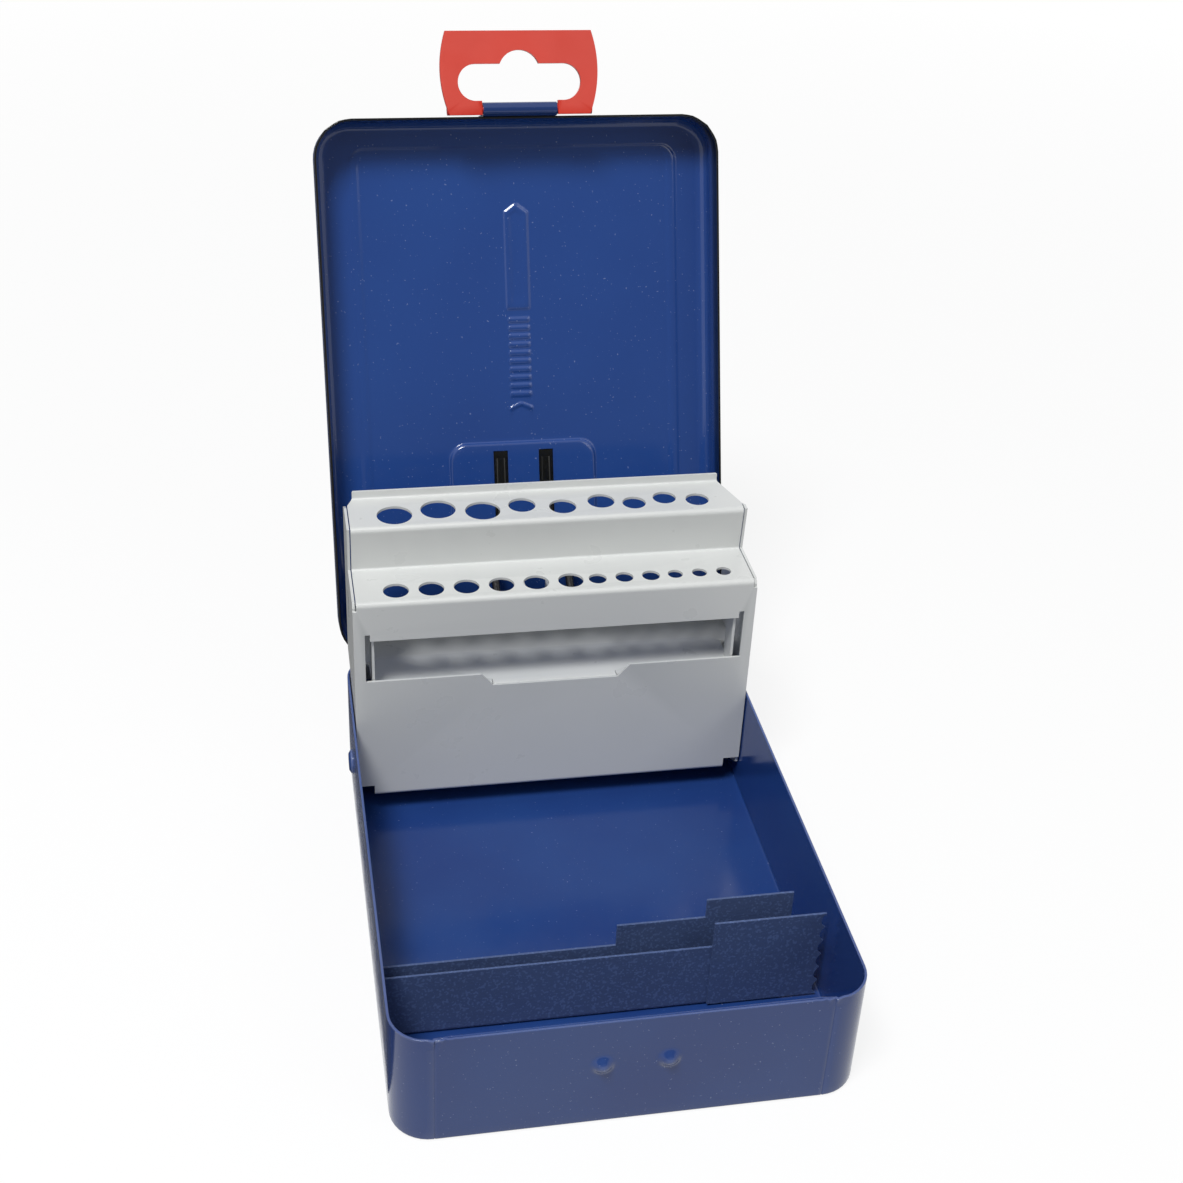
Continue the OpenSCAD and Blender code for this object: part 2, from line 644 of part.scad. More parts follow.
// Room outside the slanted corner at the rear tier's right end, l long and w wide
module slanted_corner(l, w) {
    translate([0, 0, tier_rear_z - 4]) linear_extrude(lip_h + 8)
        polygon([[cheek_in - w, rack_rear_y + rack_t], [cheek_in - w, rack_rear_y], [cheek_in, rack_rear_y - l],
            [rack_half_w + 1, rack_rear_y - l], [rack_half_w + 1, rack_rear_y + rack_t]]);
}

// Folded strip of the rack: face, front tier, riser, rear tier and lip
module rack_shell() {
    c = rack_t / 2;
    notch_w = 4.6;
    notch_h = 3.6;
    color("#A9AEB0") difference() {
        union() {
            along_x(-rack_half_w, rack_half_w) bent_sheet([[face_y + 3.4, face_bottom + c],
                [face_y + c, face_bottom + c], [face_y + c, tier_front_z - c - 2]], rack_t, rack_bend_r);
            along_x(-cheek_in + 0.3, cheek_in - 0.3) bent_sheet([[face_y + c, tier_front_z - 6],
                [face_y + c, tier_front_z - c], [riser_y + c, tier_front_z - c], [riser_top_y + c, tier_rear_z - c],
                [rack_rear_y - c, tier_rear_z - c], [rack_rear_y - c, tier_rear_z + lip_h]], rack_t, rack_bend_r);
        }
        for (side = [-1, 1]) {
            translate([side * rack_half_w, face_y, face_bottom]) cube([2 * notch_w, 12, 2 * notch_h], center = true);
            translate([side * (window_half_w - 0.7), face_y, window_top]) cube([1.4, 2, 4.2], center = true);
        }
        slanted_corner(slant_right_l, slant_right_w);
        mirror([1, 0, 0]) slanted_corner(slant_left_l, slant_left_w);
        translate([0, face_y + 1, 0]) rotate([90, 0, 0]) linear_extrude(2) {
            polygon([[-window_half_w, window_bottom], [-shelf_neck - 3.4, window_bottom], [-shelf_neck, shelf_front_z],
                [shelf_neck, shelf_front_z], [shelf_neck + 3.4, window_bottom], [window_half_w, window_bottom],
                [window_half_w, window_top], [-window_half_w, window_top]]);
        }
        tool_holes();
    }
    color("#A9AEB0") front_shelf();
}

// Flap pushed in from the window: it carries the front row's tools
module front_shelf() {
    c = rack_t / 2;
    shelf_half = window_half_w - 1.8;
    rear = face_y + shelf_front_depth;
    along_x(-shelf_neck + 0.2, shelf_neck - 0.2) bent_sheet([[face_y + c, shelf_front_z - 4],
        [face_y + c, shelf_front_z - c], [face_y + 6, shelf_front_z - c]], rack_t, rack_bend_r);
    translate([0, 0, shelf_front_z - rack_t]) linear_extrude(rack_t) polygon([[-shelf_half, face_y + 1.2],
        [-shelf_neck, face_y + 1.2], [-shelf_neck, face_y + 3], [shelf_neck, face_y + 3], [shelf_neck, face_y + 1.2],
        [shelf_half, face_y + 1.2], [shelf_half, rear - 3], [shelf_half - 3, rear], [-shelf_half + 3, rear],
        [-shelf_half, rear - 3]]);
    for (side = [-1, 1]) translate([side * (shelf_half - c) - c, face_y + 1.2, shelf_front_z - lap])
        cube([rack_t, 6.4, window_top - shelf_front_z - 0.5]);
}

front_sizes = [for (i = [0:11]) i < 6 ? hole_front_a : i < 9 ? hole_front_b : hole_front_c];
front_steps = [for (i = [0:11]) i == 0 ? -first_front : i < 6 ? pitch_front_a : i < 9 ? pitch_front_b : pitch_front_c];
rear_sizes = [for (i = [0:8]) i < 3 ? hole_rear_a : i < 6 ? hole_rear_b : hole_rear_c];
rear_steps = [for (i = [0:8]) i == 0 ? -first_rear : i < 3 ? pitch_rear_a : i < 6 ? pitch_rear_b : pitch_rear_c];
module tool_holes() {
    front_x = sums(front_steps);
    rear_x = sums(rear_steps);
    for (i = [0:11]) translate([front_x[i], face_y + row_front, tier_front_z - rack_t - 1])
        cylinder(d = front_sizes[i], h = rack_t + 2);
    for (i = [0:8]) translate([rear_x[i], riser_y + row_rear - (i % 2 == 0 ? row_stagger / 2 : -row_stagger / 2),
        tier_rear_z - rack_t - 1]) cylinder(d = rear_sizes[i], h = rack_t + 2);
}

// Side plate of the rack, pivoted low on a rivet in the base's side wall
module rack_cheek(side) {
    front = face_y + rack_t;
    rear_low = rear_y - corner_r + 0.8;
    rear_high = rack_rear_y - 0.6;
    slant = side > 0 ? slant_right_l : slant_left_l;
    rim = base_h + 1.3;
    bend_clear = 0.1;
    color("#A9AEB0") difference() {
        along_x(side > 0 ? cheek_in : -rack_half_w, side > 0 ? rack_half_w : -cheek_in) {
            polygon([[front, pivot_z], [front, face_bottom + 1.5], [pivot_y - 4, pivot_z - cheek_foot_r],
                [pivot_y + 4, pivot_z - cheek_foot_r], [rear_low, pivot_z + 4], [rear_low, rim],
                [rear_high, rim + 1.5], [rear_high, tier_rear_z - 0.45 * slant], [rear_high - slant, tier_rear_z],
                [riser_top_y + bend_clear, tier_rear_z], [riser_y + bend_clear, tier_front_z],
                [front + 1, tier_front_z], [front, tier_front_z - 1.5]]);
        }
        translate([side * rack_half_w, pivot_y, pivot_z]) rotate([0, 90, 0])
            cylinder(r = rivet_r + running_gap, h = 4 * rack_t, center = true);
    }
}
module rack_cheek_left() {
    rack_cheek(-1);
}
module rack_cheek_right() {
    rack_cheek(1);
}

// Shelf for the rear row, with an upright rear flange and two slotted lugs that guide the lift link
lug_t = 1;
lug_wall = 0.6;
lug_border = 1;
bar_room = wire_r + guide_gap;
module rack_rear_shelf() {
    c = rack_t / 2;
    shelf_front_y = face_y + shelf_front_depth + 0.4;
    slot_low = bar_at[1] - bar_dip - bar_room;
    slot_top = bar_at[1] + bar_rise + bar_room;
    slot_rear = bar_at[0] + bar_room;
    color("#A9AEB0") {
        along_x(-cheek_in, cheek_in) bent_sheet([[shelf_front_y + c, shelf_rear_z - 5],
            [shelf_front_y + c, shelf_rear_z - c], [rack_rear_y - c, shelf_rear_z - c],
            [rack_rear_y - c, slot_top + lug_border]], rack_t, rack_bend_r);
        for (side = [-1, 1]) along_x(side * lug_x - lug_t / 2, side * lug_x + lug_t / 2) difference() {
            translate([rack_rear_y - lap, slot_low - lug_border])
                square([slot_rear + lug_wall - rack_rear_y + lap, slot_top - slot_low + 2 * lug_border]);
            translate([rack_rear_y, slot_low]) square([slot_rear - rack_rear_y, slot_top - slot_low]);
        }
    }
}

// Plastic hang tab in its own frame: Y away from the axle, Z out of the lid's open side
module hang_tab() {
    side_r = (tab_bulge * tab_bulge + tab_reach * tab_reach / 4) / (2 * tab_bulge);
    slot_r = (hang_far - hang_near) / 2;
    gap_x = strap_w / 2 + bar_gap;
    color("#DC4632") on_lid() translate([0, axle_s, axle_proud]) {
        translate([0, 0, bar_r - tab_t]) linear_extrude(tab_t) difference() {
            intersection() {
                round_rect(-tab_w / 2 - tab_bulge, -bar_r, tab_w / 2 + tab_bulge, tab_reach, 1.5);
                translate([side_r - tab_w / 2 - tab_bulge, tab_reach / 2]) circle(side_r, $fn = 120);
                translate([-side_r + tab_w / 2 + tab_bulge, tab_reach / 2]) circle(side_r, $fn = 120);
            }
            translate([-hang_half_l + slot_r, hang_near]) square([2 * (hang_half_l - slot_r), 2 * slot_r]);
            for (side = [-1, 1]) translate([side * (hang_half_l - slot_r), hang_near + slot_r]) circle(slot_r);
            translate([0, lobe_far - lobe_r]) circle(lobe_r);
            translate([-gap_x, -2 * bar_r]) square([2 * gap_x, 2 * bar_r + hang_near + slot_r]);
        }
        for (side = [-1, 1]) along_x(side > 0 ? gap_x : -tab_w / 2, side > 0 ? tab_w / 2 : -gap_x) circle(bar_r);
        along_x(-gap_x, gap_x) circle(axle_r);
    }
}

base_tray();
divider_channel();
divider_gate();
hinge_leaf_base();
hinge_pin();
pivot_rivet_left();
pivot_rivet_right();
lid_pan();
hinge_leaf_lid();
tab_strap();
link_bracket();
rack_shell();
rack_cheek_left();
rack_cheek_right();
rack_rear_shelf();
lift_link();
hang_tab();
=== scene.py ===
"""Looks of the sheet-metal drill bit case: enamelled pans, folded hem, finishes, light and camera.

Lengths are millimetres and angles degrees. Only the studio counts in metres, as Blender does.
"""

from __future__ import annotations

import json
import logging
import math
from abc import ABC, abstractmethod
from dataclasses import dataclass
from enum import Enum

import bpy
import numpy as np
from mathutils import Matrix, Vector

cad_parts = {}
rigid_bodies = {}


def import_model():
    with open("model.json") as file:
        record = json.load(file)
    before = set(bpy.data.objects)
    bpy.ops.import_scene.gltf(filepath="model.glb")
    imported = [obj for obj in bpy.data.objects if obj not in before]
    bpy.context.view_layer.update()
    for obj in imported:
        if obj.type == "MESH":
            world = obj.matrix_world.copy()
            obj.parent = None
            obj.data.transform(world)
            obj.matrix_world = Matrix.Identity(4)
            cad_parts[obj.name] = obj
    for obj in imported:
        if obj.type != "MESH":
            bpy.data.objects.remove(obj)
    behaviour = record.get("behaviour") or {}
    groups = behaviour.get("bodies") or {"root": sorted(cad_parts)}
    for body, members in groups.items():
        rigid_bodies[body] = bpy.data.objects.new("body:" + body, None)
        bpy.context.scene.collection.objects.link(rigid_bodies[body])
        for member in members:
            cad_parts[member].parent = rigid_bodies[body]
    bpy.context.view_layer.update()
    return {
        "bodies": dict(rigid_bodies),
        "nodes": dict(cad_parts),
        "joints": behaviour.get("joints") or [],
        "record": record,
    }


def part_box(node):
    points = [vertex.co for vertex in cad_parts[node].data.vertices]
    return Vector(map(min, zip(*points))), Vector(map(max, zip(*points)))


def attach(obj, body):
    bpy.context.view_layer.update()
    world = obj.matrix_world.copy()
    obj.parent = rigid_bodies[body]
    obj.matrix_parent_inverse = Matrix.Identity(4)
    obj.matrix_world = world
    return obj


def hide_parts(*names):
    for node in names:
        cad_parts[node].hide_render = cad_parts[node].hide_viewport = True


LOG = logging.getLogger("case")
MM = 0.001
SHEET_T = 0.6

Pair = tuple[float, float]
Point = Span = tuple[float, float, float]
Array = np.ndarray
Node = bpy.types.Node
Object = bpy.types.Object
Socket = bpy.types.NodeSocket
Tree = bpy.types.NodeTree


class Relief(Enum):
    """Small relief of a finish."""

    FLAT = "flat"
    ORANGE_PEEL = "orange peel"
    WRINKLE = "wrinkle"
    BRUSHED = "brushed"


def linear(hex_colour: str) -> tuple[float, float, float, float]:
    """Turns an sRGB hex colour into a linear colour with alpha.

    Args:
        hex_colour: colour such as "#2E4880".

    Returns:
        Linear red, green, blue and 1. Each part is c / 12.92 up to 0.04045, and above that
        ((c + 0.055) / 1.055) to the power 2.4.
    """
    digits = hex_colour.lstrip("#")
    parts = [int(digits[i : i + 2], 16) / 255 for i in (0, 2, 4)]
    return (*(c / 12.92 if c <= 0.04045 else ((c + 0.055) / 1.055) ** 2.4 for c in parts), 1.0)


@dataclass(frozen=True)
class Finish:
    """One finish as the maker would name it.

    Attributes:
        name: plain name of the material.
        colour: main colour.
        tint: second colour, in soft clouds of the size cloud_mm.
        roughness: lowest and highest roughness.
        ior: index of refraction of a coat.
        metallic: 1 for bare metal.
        relief: kind of small relief, with grain_mm the size of its grain and depth_mm its height.
        edge: colour on sharp convex edges, or None; edge_share is its strength. On the grey coat it is a
            painted highlight, and on the lid's enamel painted shade.
        speck: colour of small specks, or None; speck_mm is their size.
        speck_from: height of the grain noise above which a speck shows; 0.6 gives many, 0.8 a few.
        rim: colour painted on a pan's marked rim as shade and dark reflection, or None.
    """

    name: str
    colour: str
    tint: str
    cloud_mm: float = 30.0
    roughness: Pair = (0.12, 0.22)
    ior: float = 1.5
    metallic: float = 0.0
    relief: Relief = Relief.FLAT
    grain_mm: float = 1.0
    depth_mm: float = 0.0
    edge: str | None = None
    edge_share: float = 0.0
    speck: str | None = None
    speck_mm: float = 0.5
    speck_from: float = 0.8
    rim: str | None = None


# Stove enamel on drawn steel: wet gloss, faint orange peel, a few dust grains; painted shade on sharp
# edges, and painted shade and dark reflection on the rim
LID_ENAMEL = Finish(
    "blue stove enamel, lid", "#234689", "#204183", cloud_mm=60, roughness=(0.13, 0.18),
    relief=Relief.ORANGE_PEEL, grain_mm=3.2, depth_mm=0.006,
    edge="#0C1530", edge_share=0.5, speck="#8E9BC0", rim="#06080D",
)
# The same enamel on the base: a little duller, and paler on sharp edges
BASE_ENAMEL = Finish(
    "blue stove enamel, base", "#23427F", "#1F3A77", cloud_mm=45, roughness=(0.13, 0.22),
    relief=Relief.ORANGE_PEEL, grain_mm=2.8, depth_mm=0.008,
    edge="#7F8DB8", edge_share=0.7, speck="#8E9BC0", speck_from=0.81,
)
# Wrinkle enamel: the coat shrinks while it bakes, which leaves fine dark creases and dull light tips
WRINKLE_ENAMEL = Finish(
    "blue wrinkle enamel", "#1C335F", "#172C56", cloud_mm=12, roughness=(0.5, 0.62),
    relief=Relief.WRINKLE, grain_mm=0.7, depth_mm=0.05,
    edge="#6E82B0", edge_share=0.3, speck="#526A9E", speck_mm=0.6, speck_from=0.6,
)
# Powder coat on folded steel: satin, with a soft milky reflection, and a painted highlight in a lighter colour
# on the edges and round the holes
GREY_COAT = Finish(
    "grey powder coat", "#B4B7B6", "#ADB1B1", cloud_mm=28, roughness=(0.26, 0.36),
    relief=Relief.ORANGE_PEEL, grain_mm=0.9, depth_mm=0.005, edge="#E4E5E3", edge_share=0.6,
)
# Drawn steel wire: bright metal with fine lines along it
DRAWN_STEEL = Finish(
    "drawn steel", "#A7A6A3", "#8E8C88", cloud_mm=4, roughness=(0.24, 0.38), metallic=1.0,
    relief=Relief.BRUSHED, grain_mm=0.25, depth_mm=0.01,
)
# Polyamide moulding: near black, polished tool, sharp small highlights
BLACK_POLYAMIDE = Finish(
    "black moulded polyamide", "#0D0D0B", "#14140F", cloud_mm=12, roughness=(0.12, 0.2)
)
# Blackened wire: oxide skin on round wire, slightly uneven
BLACK_WIRE = Finish("blackened steel wire", "#111111", "#1A1918", cloud_mm=6, roughness=(0.2, 0.34))
# Polypropylene moulding: saturated red, waxy, softly grained, paler where the wall turns
RED_PP = Finish(
    "red moulded polypropylene", "#C92B15", "#BF2612", cloud_mm=18, roughness=(0.36, 0.48), ior=1.49,
    relief=Relief.ORANGE_PEEL, grain_mm=0.6, depth_mm=0.008, edge="#E4665A", edge_share=0.35,
)


def add_node(tree: Tree, kind: str, inputs: dict | None = None, **settings: object) -> Node:
    """Adds a node with its settings, values and links.

    Args:
        tree: node tree that gets the node.
        kind: Blender's name of the node type, without "ShaderNode".
        inputs: value, or socket to link from, for each input by name or number.
        settings: attributes of the node.

    Returns:
        The new node.
    """
    made = tree.nodes.new("ShaderNode" + kind)
    for key, value in settings.items():
        setattr(made, key, value)
    for key, value in (inputs or {}).items():
        if isinstance(value, Socket):
            tree.links.new(value, made.inputs[key])
        else:
            made.inputs[key].default_value = value
    return made


class Painter:
    """Makes one node material per finish, all read from Object coordinates."""

    # Heights of the noise between which the tint, and the roughness, go from lowest to highest
    CLOUD_SPAN = (0.35, 0.68)
    ROUGH_SPAN = (0.3, 0.7)
    # Size of the clouds of roughness, as a share of the tint's
    ROUGH_SIZE = 0.35
    # Height over a finish's speck_from at which a speck is strongest, and its strength there
    SPECK_RISE = 0.06
    SPECK_SHARE = 0.5
    # Pointiness between which an edge's colour comes in; level ground has 0.5
    EDGE_SPAN = (0.52, 0.6)
    # Shrinks the noise's X, so that brushed lines run along X
    BRUSH_STRETCH = (0.08, 1, 1)

    def __init__(self) -> None:
        """Starts with no material."""
        self._made: dict[str, bpy.types.Material] = {}

    def paint(self, obj: Object, finish: Finish) -> None:
        """Gives a mesh object its one finish."""
        if finish.name not in self._made:
            self._made[finish.name] = self._make(finish)
        obj.data.materials.clear()
        obj.data.materials.append(self._made[finish.name])

    def _noise(self, tree: Tree, where: Socket, size_mm: float, detail: float = 2.0) -> Socket:
        """Soft noise from 0 to 1 whose clouds are size_mm across."""
        inputs = {"Vector": where, "Scale": 1 / (size_mm * MM), "Detail": detail}
        return add_node(tree, "TexNoise", inputs).outputs["Fac"]

    def _mix(self, tree: Tree, share: Socket, low: object, high: object) -> Socket:
        """Mixes two colours, each a linear colour or a socket, by a share from 0 to 1."""
        inputs = {"Factor": share, "A": low, "B": high}
        return add_node(tree, "Mix", inputs, data_type="RGBA").outputs["Result"]

    def _span(self, tree: Tree, value: Socket, source: Pair, target: Pair) -> Socket:
        """Carries a value from one span to another, clamped at the ends."""
        inputs = {"Value": value, "From Min": source[0], "From Max": source[1],
                  "To Min": target[0], "To Max": target[1]}
        return add_node(tree, "MapRange", inputs).outputs["Result"]

    def _make(self, finish: Finish) -> bpy.types.Material:
        """Makes a finish's material: clouds of tint, then specks, the edges' colour and the rim's painted
        shade over them.
        """
        material = bpy.data.materials.new(finish.name)
        material.use_nodes = True
        tree = material.node_tree
        tree.nodes.clear()
        where = add_node(tree, "TexCoord").outputs["Object"]
        tint = self._noise(tree, where, finish.cloud_mm, detail=3.0)
        cloud = self._span(tree, tint, self.CLOUD_SPAN, (0, 1))
        colour = self._mix(tree, cloud, linear(finish.colour), linear(finish.tint))
        if finish.speck is not None:
            grain = self._noise(tree, where, finish.speck_mm, detail=0.0)
            rise = (finish.speck_from, finish.speck_from + self.SPECK_RISE)
            share = self._span(tree, grain, rise, (0, self.SPECK_SHARE))
            colour = self._mix(tree, share, colour, linear(finish.speck))
        # Colour on sharp convex edges, by pointiness: a painted highlight on the grey coat and painted shade
        # on the lid's enamel
        if finish.edge is not None:
            sharp = add_node(tree, "NewGeometry").outputs["Pointiness"]
            share = self._span(tree, sharp, self.EDGE_SPAN, (0, finish.edge_share))
            colour = self._mix(tree, share, colour, linear(finish.edge))
        # Painted shade and dark reflection in a band along the lid's rim
        if finish.rim is not None:
            rim_shade_share = add_node(tree, "Attribute", attribute_name=PressedPan.RIM_SHADE_MARK).outputs["Fac"]
            colour = self._mix(tree, rim_shade_share, colour, linear(finish.rim))
        dull = self._noise(tree, where, finish.cloud_mm * self.ROUGH_SIZE, detail=4.0)
        rough = self._span(tree, dull, self.ROUGH_SPAN, finish.roughness)
        inputs = {"Base Color": colour, "Roughness": rough, "Metallic": finish.metallic, "IOR": finish.ior}
        if finish.relief is not Relief.FLAT:
            inputs["Normal"] = self._bump(tree, where, finish)
        shader = add_node(tree, "BsdfPrincipled", inputs)
        add_node(tree, "OutputMaterial", {"Surface": shader.outputs["BSDF"]})
        return material

    def _bump(self, tree: Tree, where: Socket, finish: Finish) -> Socket:
        """Bump of the finish's relief, with its real depth."""
        if finish.relief is Relief.BRUSHED:
            stretch = add_node(tree, "VectorMath", {0: where, 1: self.BRUSH_STRETCH}, operation="MULTIPLY")
            where = stretch.outputs["Vector"]
        if finish.relief is Relief.WRINKLE:
            inputs = {"Vector": where, "Scale": 1 / (finish.grain_mm * MM)}
            height = add_node(tree, "TexVoronoi", inputs, feature="SMOOTH_F1").outputs["Distance"]
        else:
            height = self._noise(tree, where, finish.grain_mm)
        inputs = {"Height": height, "Distance": finish.depth_mm * MM, "Strength": 1.0}
        return add_node(tree, "Bump", inputs).outputs["Normal"]


def soft_step(value: Array) -> Array:
    """Rises from 0 to 1 as the value does, as 3 v squared less 2 v cubed."""
    v = np.clip(value, 0, 1)
    return v * v * (3 - 2 * v)


def ridge(distance: Array, width: float, height: float) -> Array:
    """Cosine ridge: height times half of one plus cos(pi * distance / half width), and 0 past it."""
    return height * 0.5 * (1 + np.cos(np.pi * np.clip(np.abs(distance) / (width / 2), 0, 1)))


def round_box(x: Array, y: Array, low: Pair, high: Pair, radius: float) -> Array:
    """Distance to a rounded rectangle, below 0 inside: length of the part of q above 0, plus the larger part
    of q where both are below 0, less the radius, with q the distance to the corner's centre."""
    qx = np.abs(x - (low[0] + high[0]) / 2) - (high[0] - low[0]) / 2 + radius
    qy = np.abs(y - (low[1] + high[1]) / 2) - (high[1] - low[1]) / 2 + radius
    return np.hypot(np.maximum(qx, 0), np.maximum(qy, 0)) + np.minimum(np.maximum(qx, qy), 0) - radius


def both_sides(spans: list[Span]) -> list[Span]:
    """Adds the mirror image of each span about 0."""
    return spans + [(-high, -low, size) for low, high, size in spans]


def grid_lines(stops: list[float], coarse: float, fine: list[Span], samples: int = 200) -> Array:
    """Places of grid lines that pass through all the stops.

    Args:
        stops: places that carry a line, in rising order.
        coarse: usual spacing.
        fine: spans as (low, high, spacing) where the spacing is smaller.
        samples: places between two stops at which the spacing is read.

    Returns:
        Places of the lines. Between two stops the running total of 1 / spacing is cut into equal parts.
    """
    parts = []
    for low, high in zip(stops, stops[1:]):
        x = np.linspace(low, high, samples)
        step = np.full_like(x, coarse)
        for start, end, size in fine:
            step = np.where((x > start) & (x < end), np.minimum(step, size), step)
        total = np.concatenate(([0], np.cumsum((1 / step[1:] + 1 / step[:-1]) / 2 * np.diff(x))))
        count = max(1, math.ceil(total[-1]))
        parts.append(np.interp(np.linspace(0, total[-1], count + 1)[:-1], total, x))
    return np.concatenate(parts + [[stops[-1]]])


def mesh_object(name: str, points: Array, faces: list, place: Matrix | None = None) -> Object:
    """Puts points in millimetres and faces into a new smooth mesh object at the origin.

    Args:
        name: name of the object.
        points: array of shape (n, 3).
        faces: lists of point numbers.
        place: carries the points to the row frame, in metres.

    Returns:
        The linked object.
    """
    mesh = bpy.data.meshes.new(name)
    mesh.from_pydata((points * MM).tolist(), [], faces)
    if place is not None:
        mesh.transform(place)
    mesh.update()
    mesh.shade_smooth()
    obj = bpy.data.objects.new(name, mesh)
    bpy.context.scene.collection.objects.link(obj)
    return obj


def round_edges(obj: Object, width: float, segments: int, turn: float) -> None:
    """Rounds the edges of an object.

    Args:
        obj: mesh object.
        width: width of the rounding.
        segments: number of strips across it.
        turn: smallest angle between two faces that makes an edge.
    """
    edge = obj.modifiers.new("edge", "BEVEL")
    edge.width = width * MM
    edge.segments = segments
    edge.limit_method = "ANGLE"
    edge.angle_limit = math.radians(turn)


def thicken(obj: Object, bevel: float, turn: float = 50) -> None:
    """Turns a sheet's middle surface into a closed sheet, marks its cut edges sharp and rounds them.

    Args:
        obj: object whose mesh is the surface.
        bevel: width of the rounding.
        turn: smallest angle between two faces that makes a cut edge.
    """
    solid = obj.modifiers.new("sheet", "SOLIDIFY")
    solid.thickness = SHEET_T * MM
    solid.offset = 0
    solid.use_even_offset = True
    bpy.context.view_layer.update()
    mesh = bpy.data.meshes.new_from_object(obj.evaluated_get(bpy.context.evaluated_depsgraph_get()))
    obj.modifiers.clear()
    mesh.name = obj.name
    obj.data = mesh
    mesh.set_sharp_from_angle(angle=math.radians(turn))
    round_edges(obj, bevel, 2, turn)


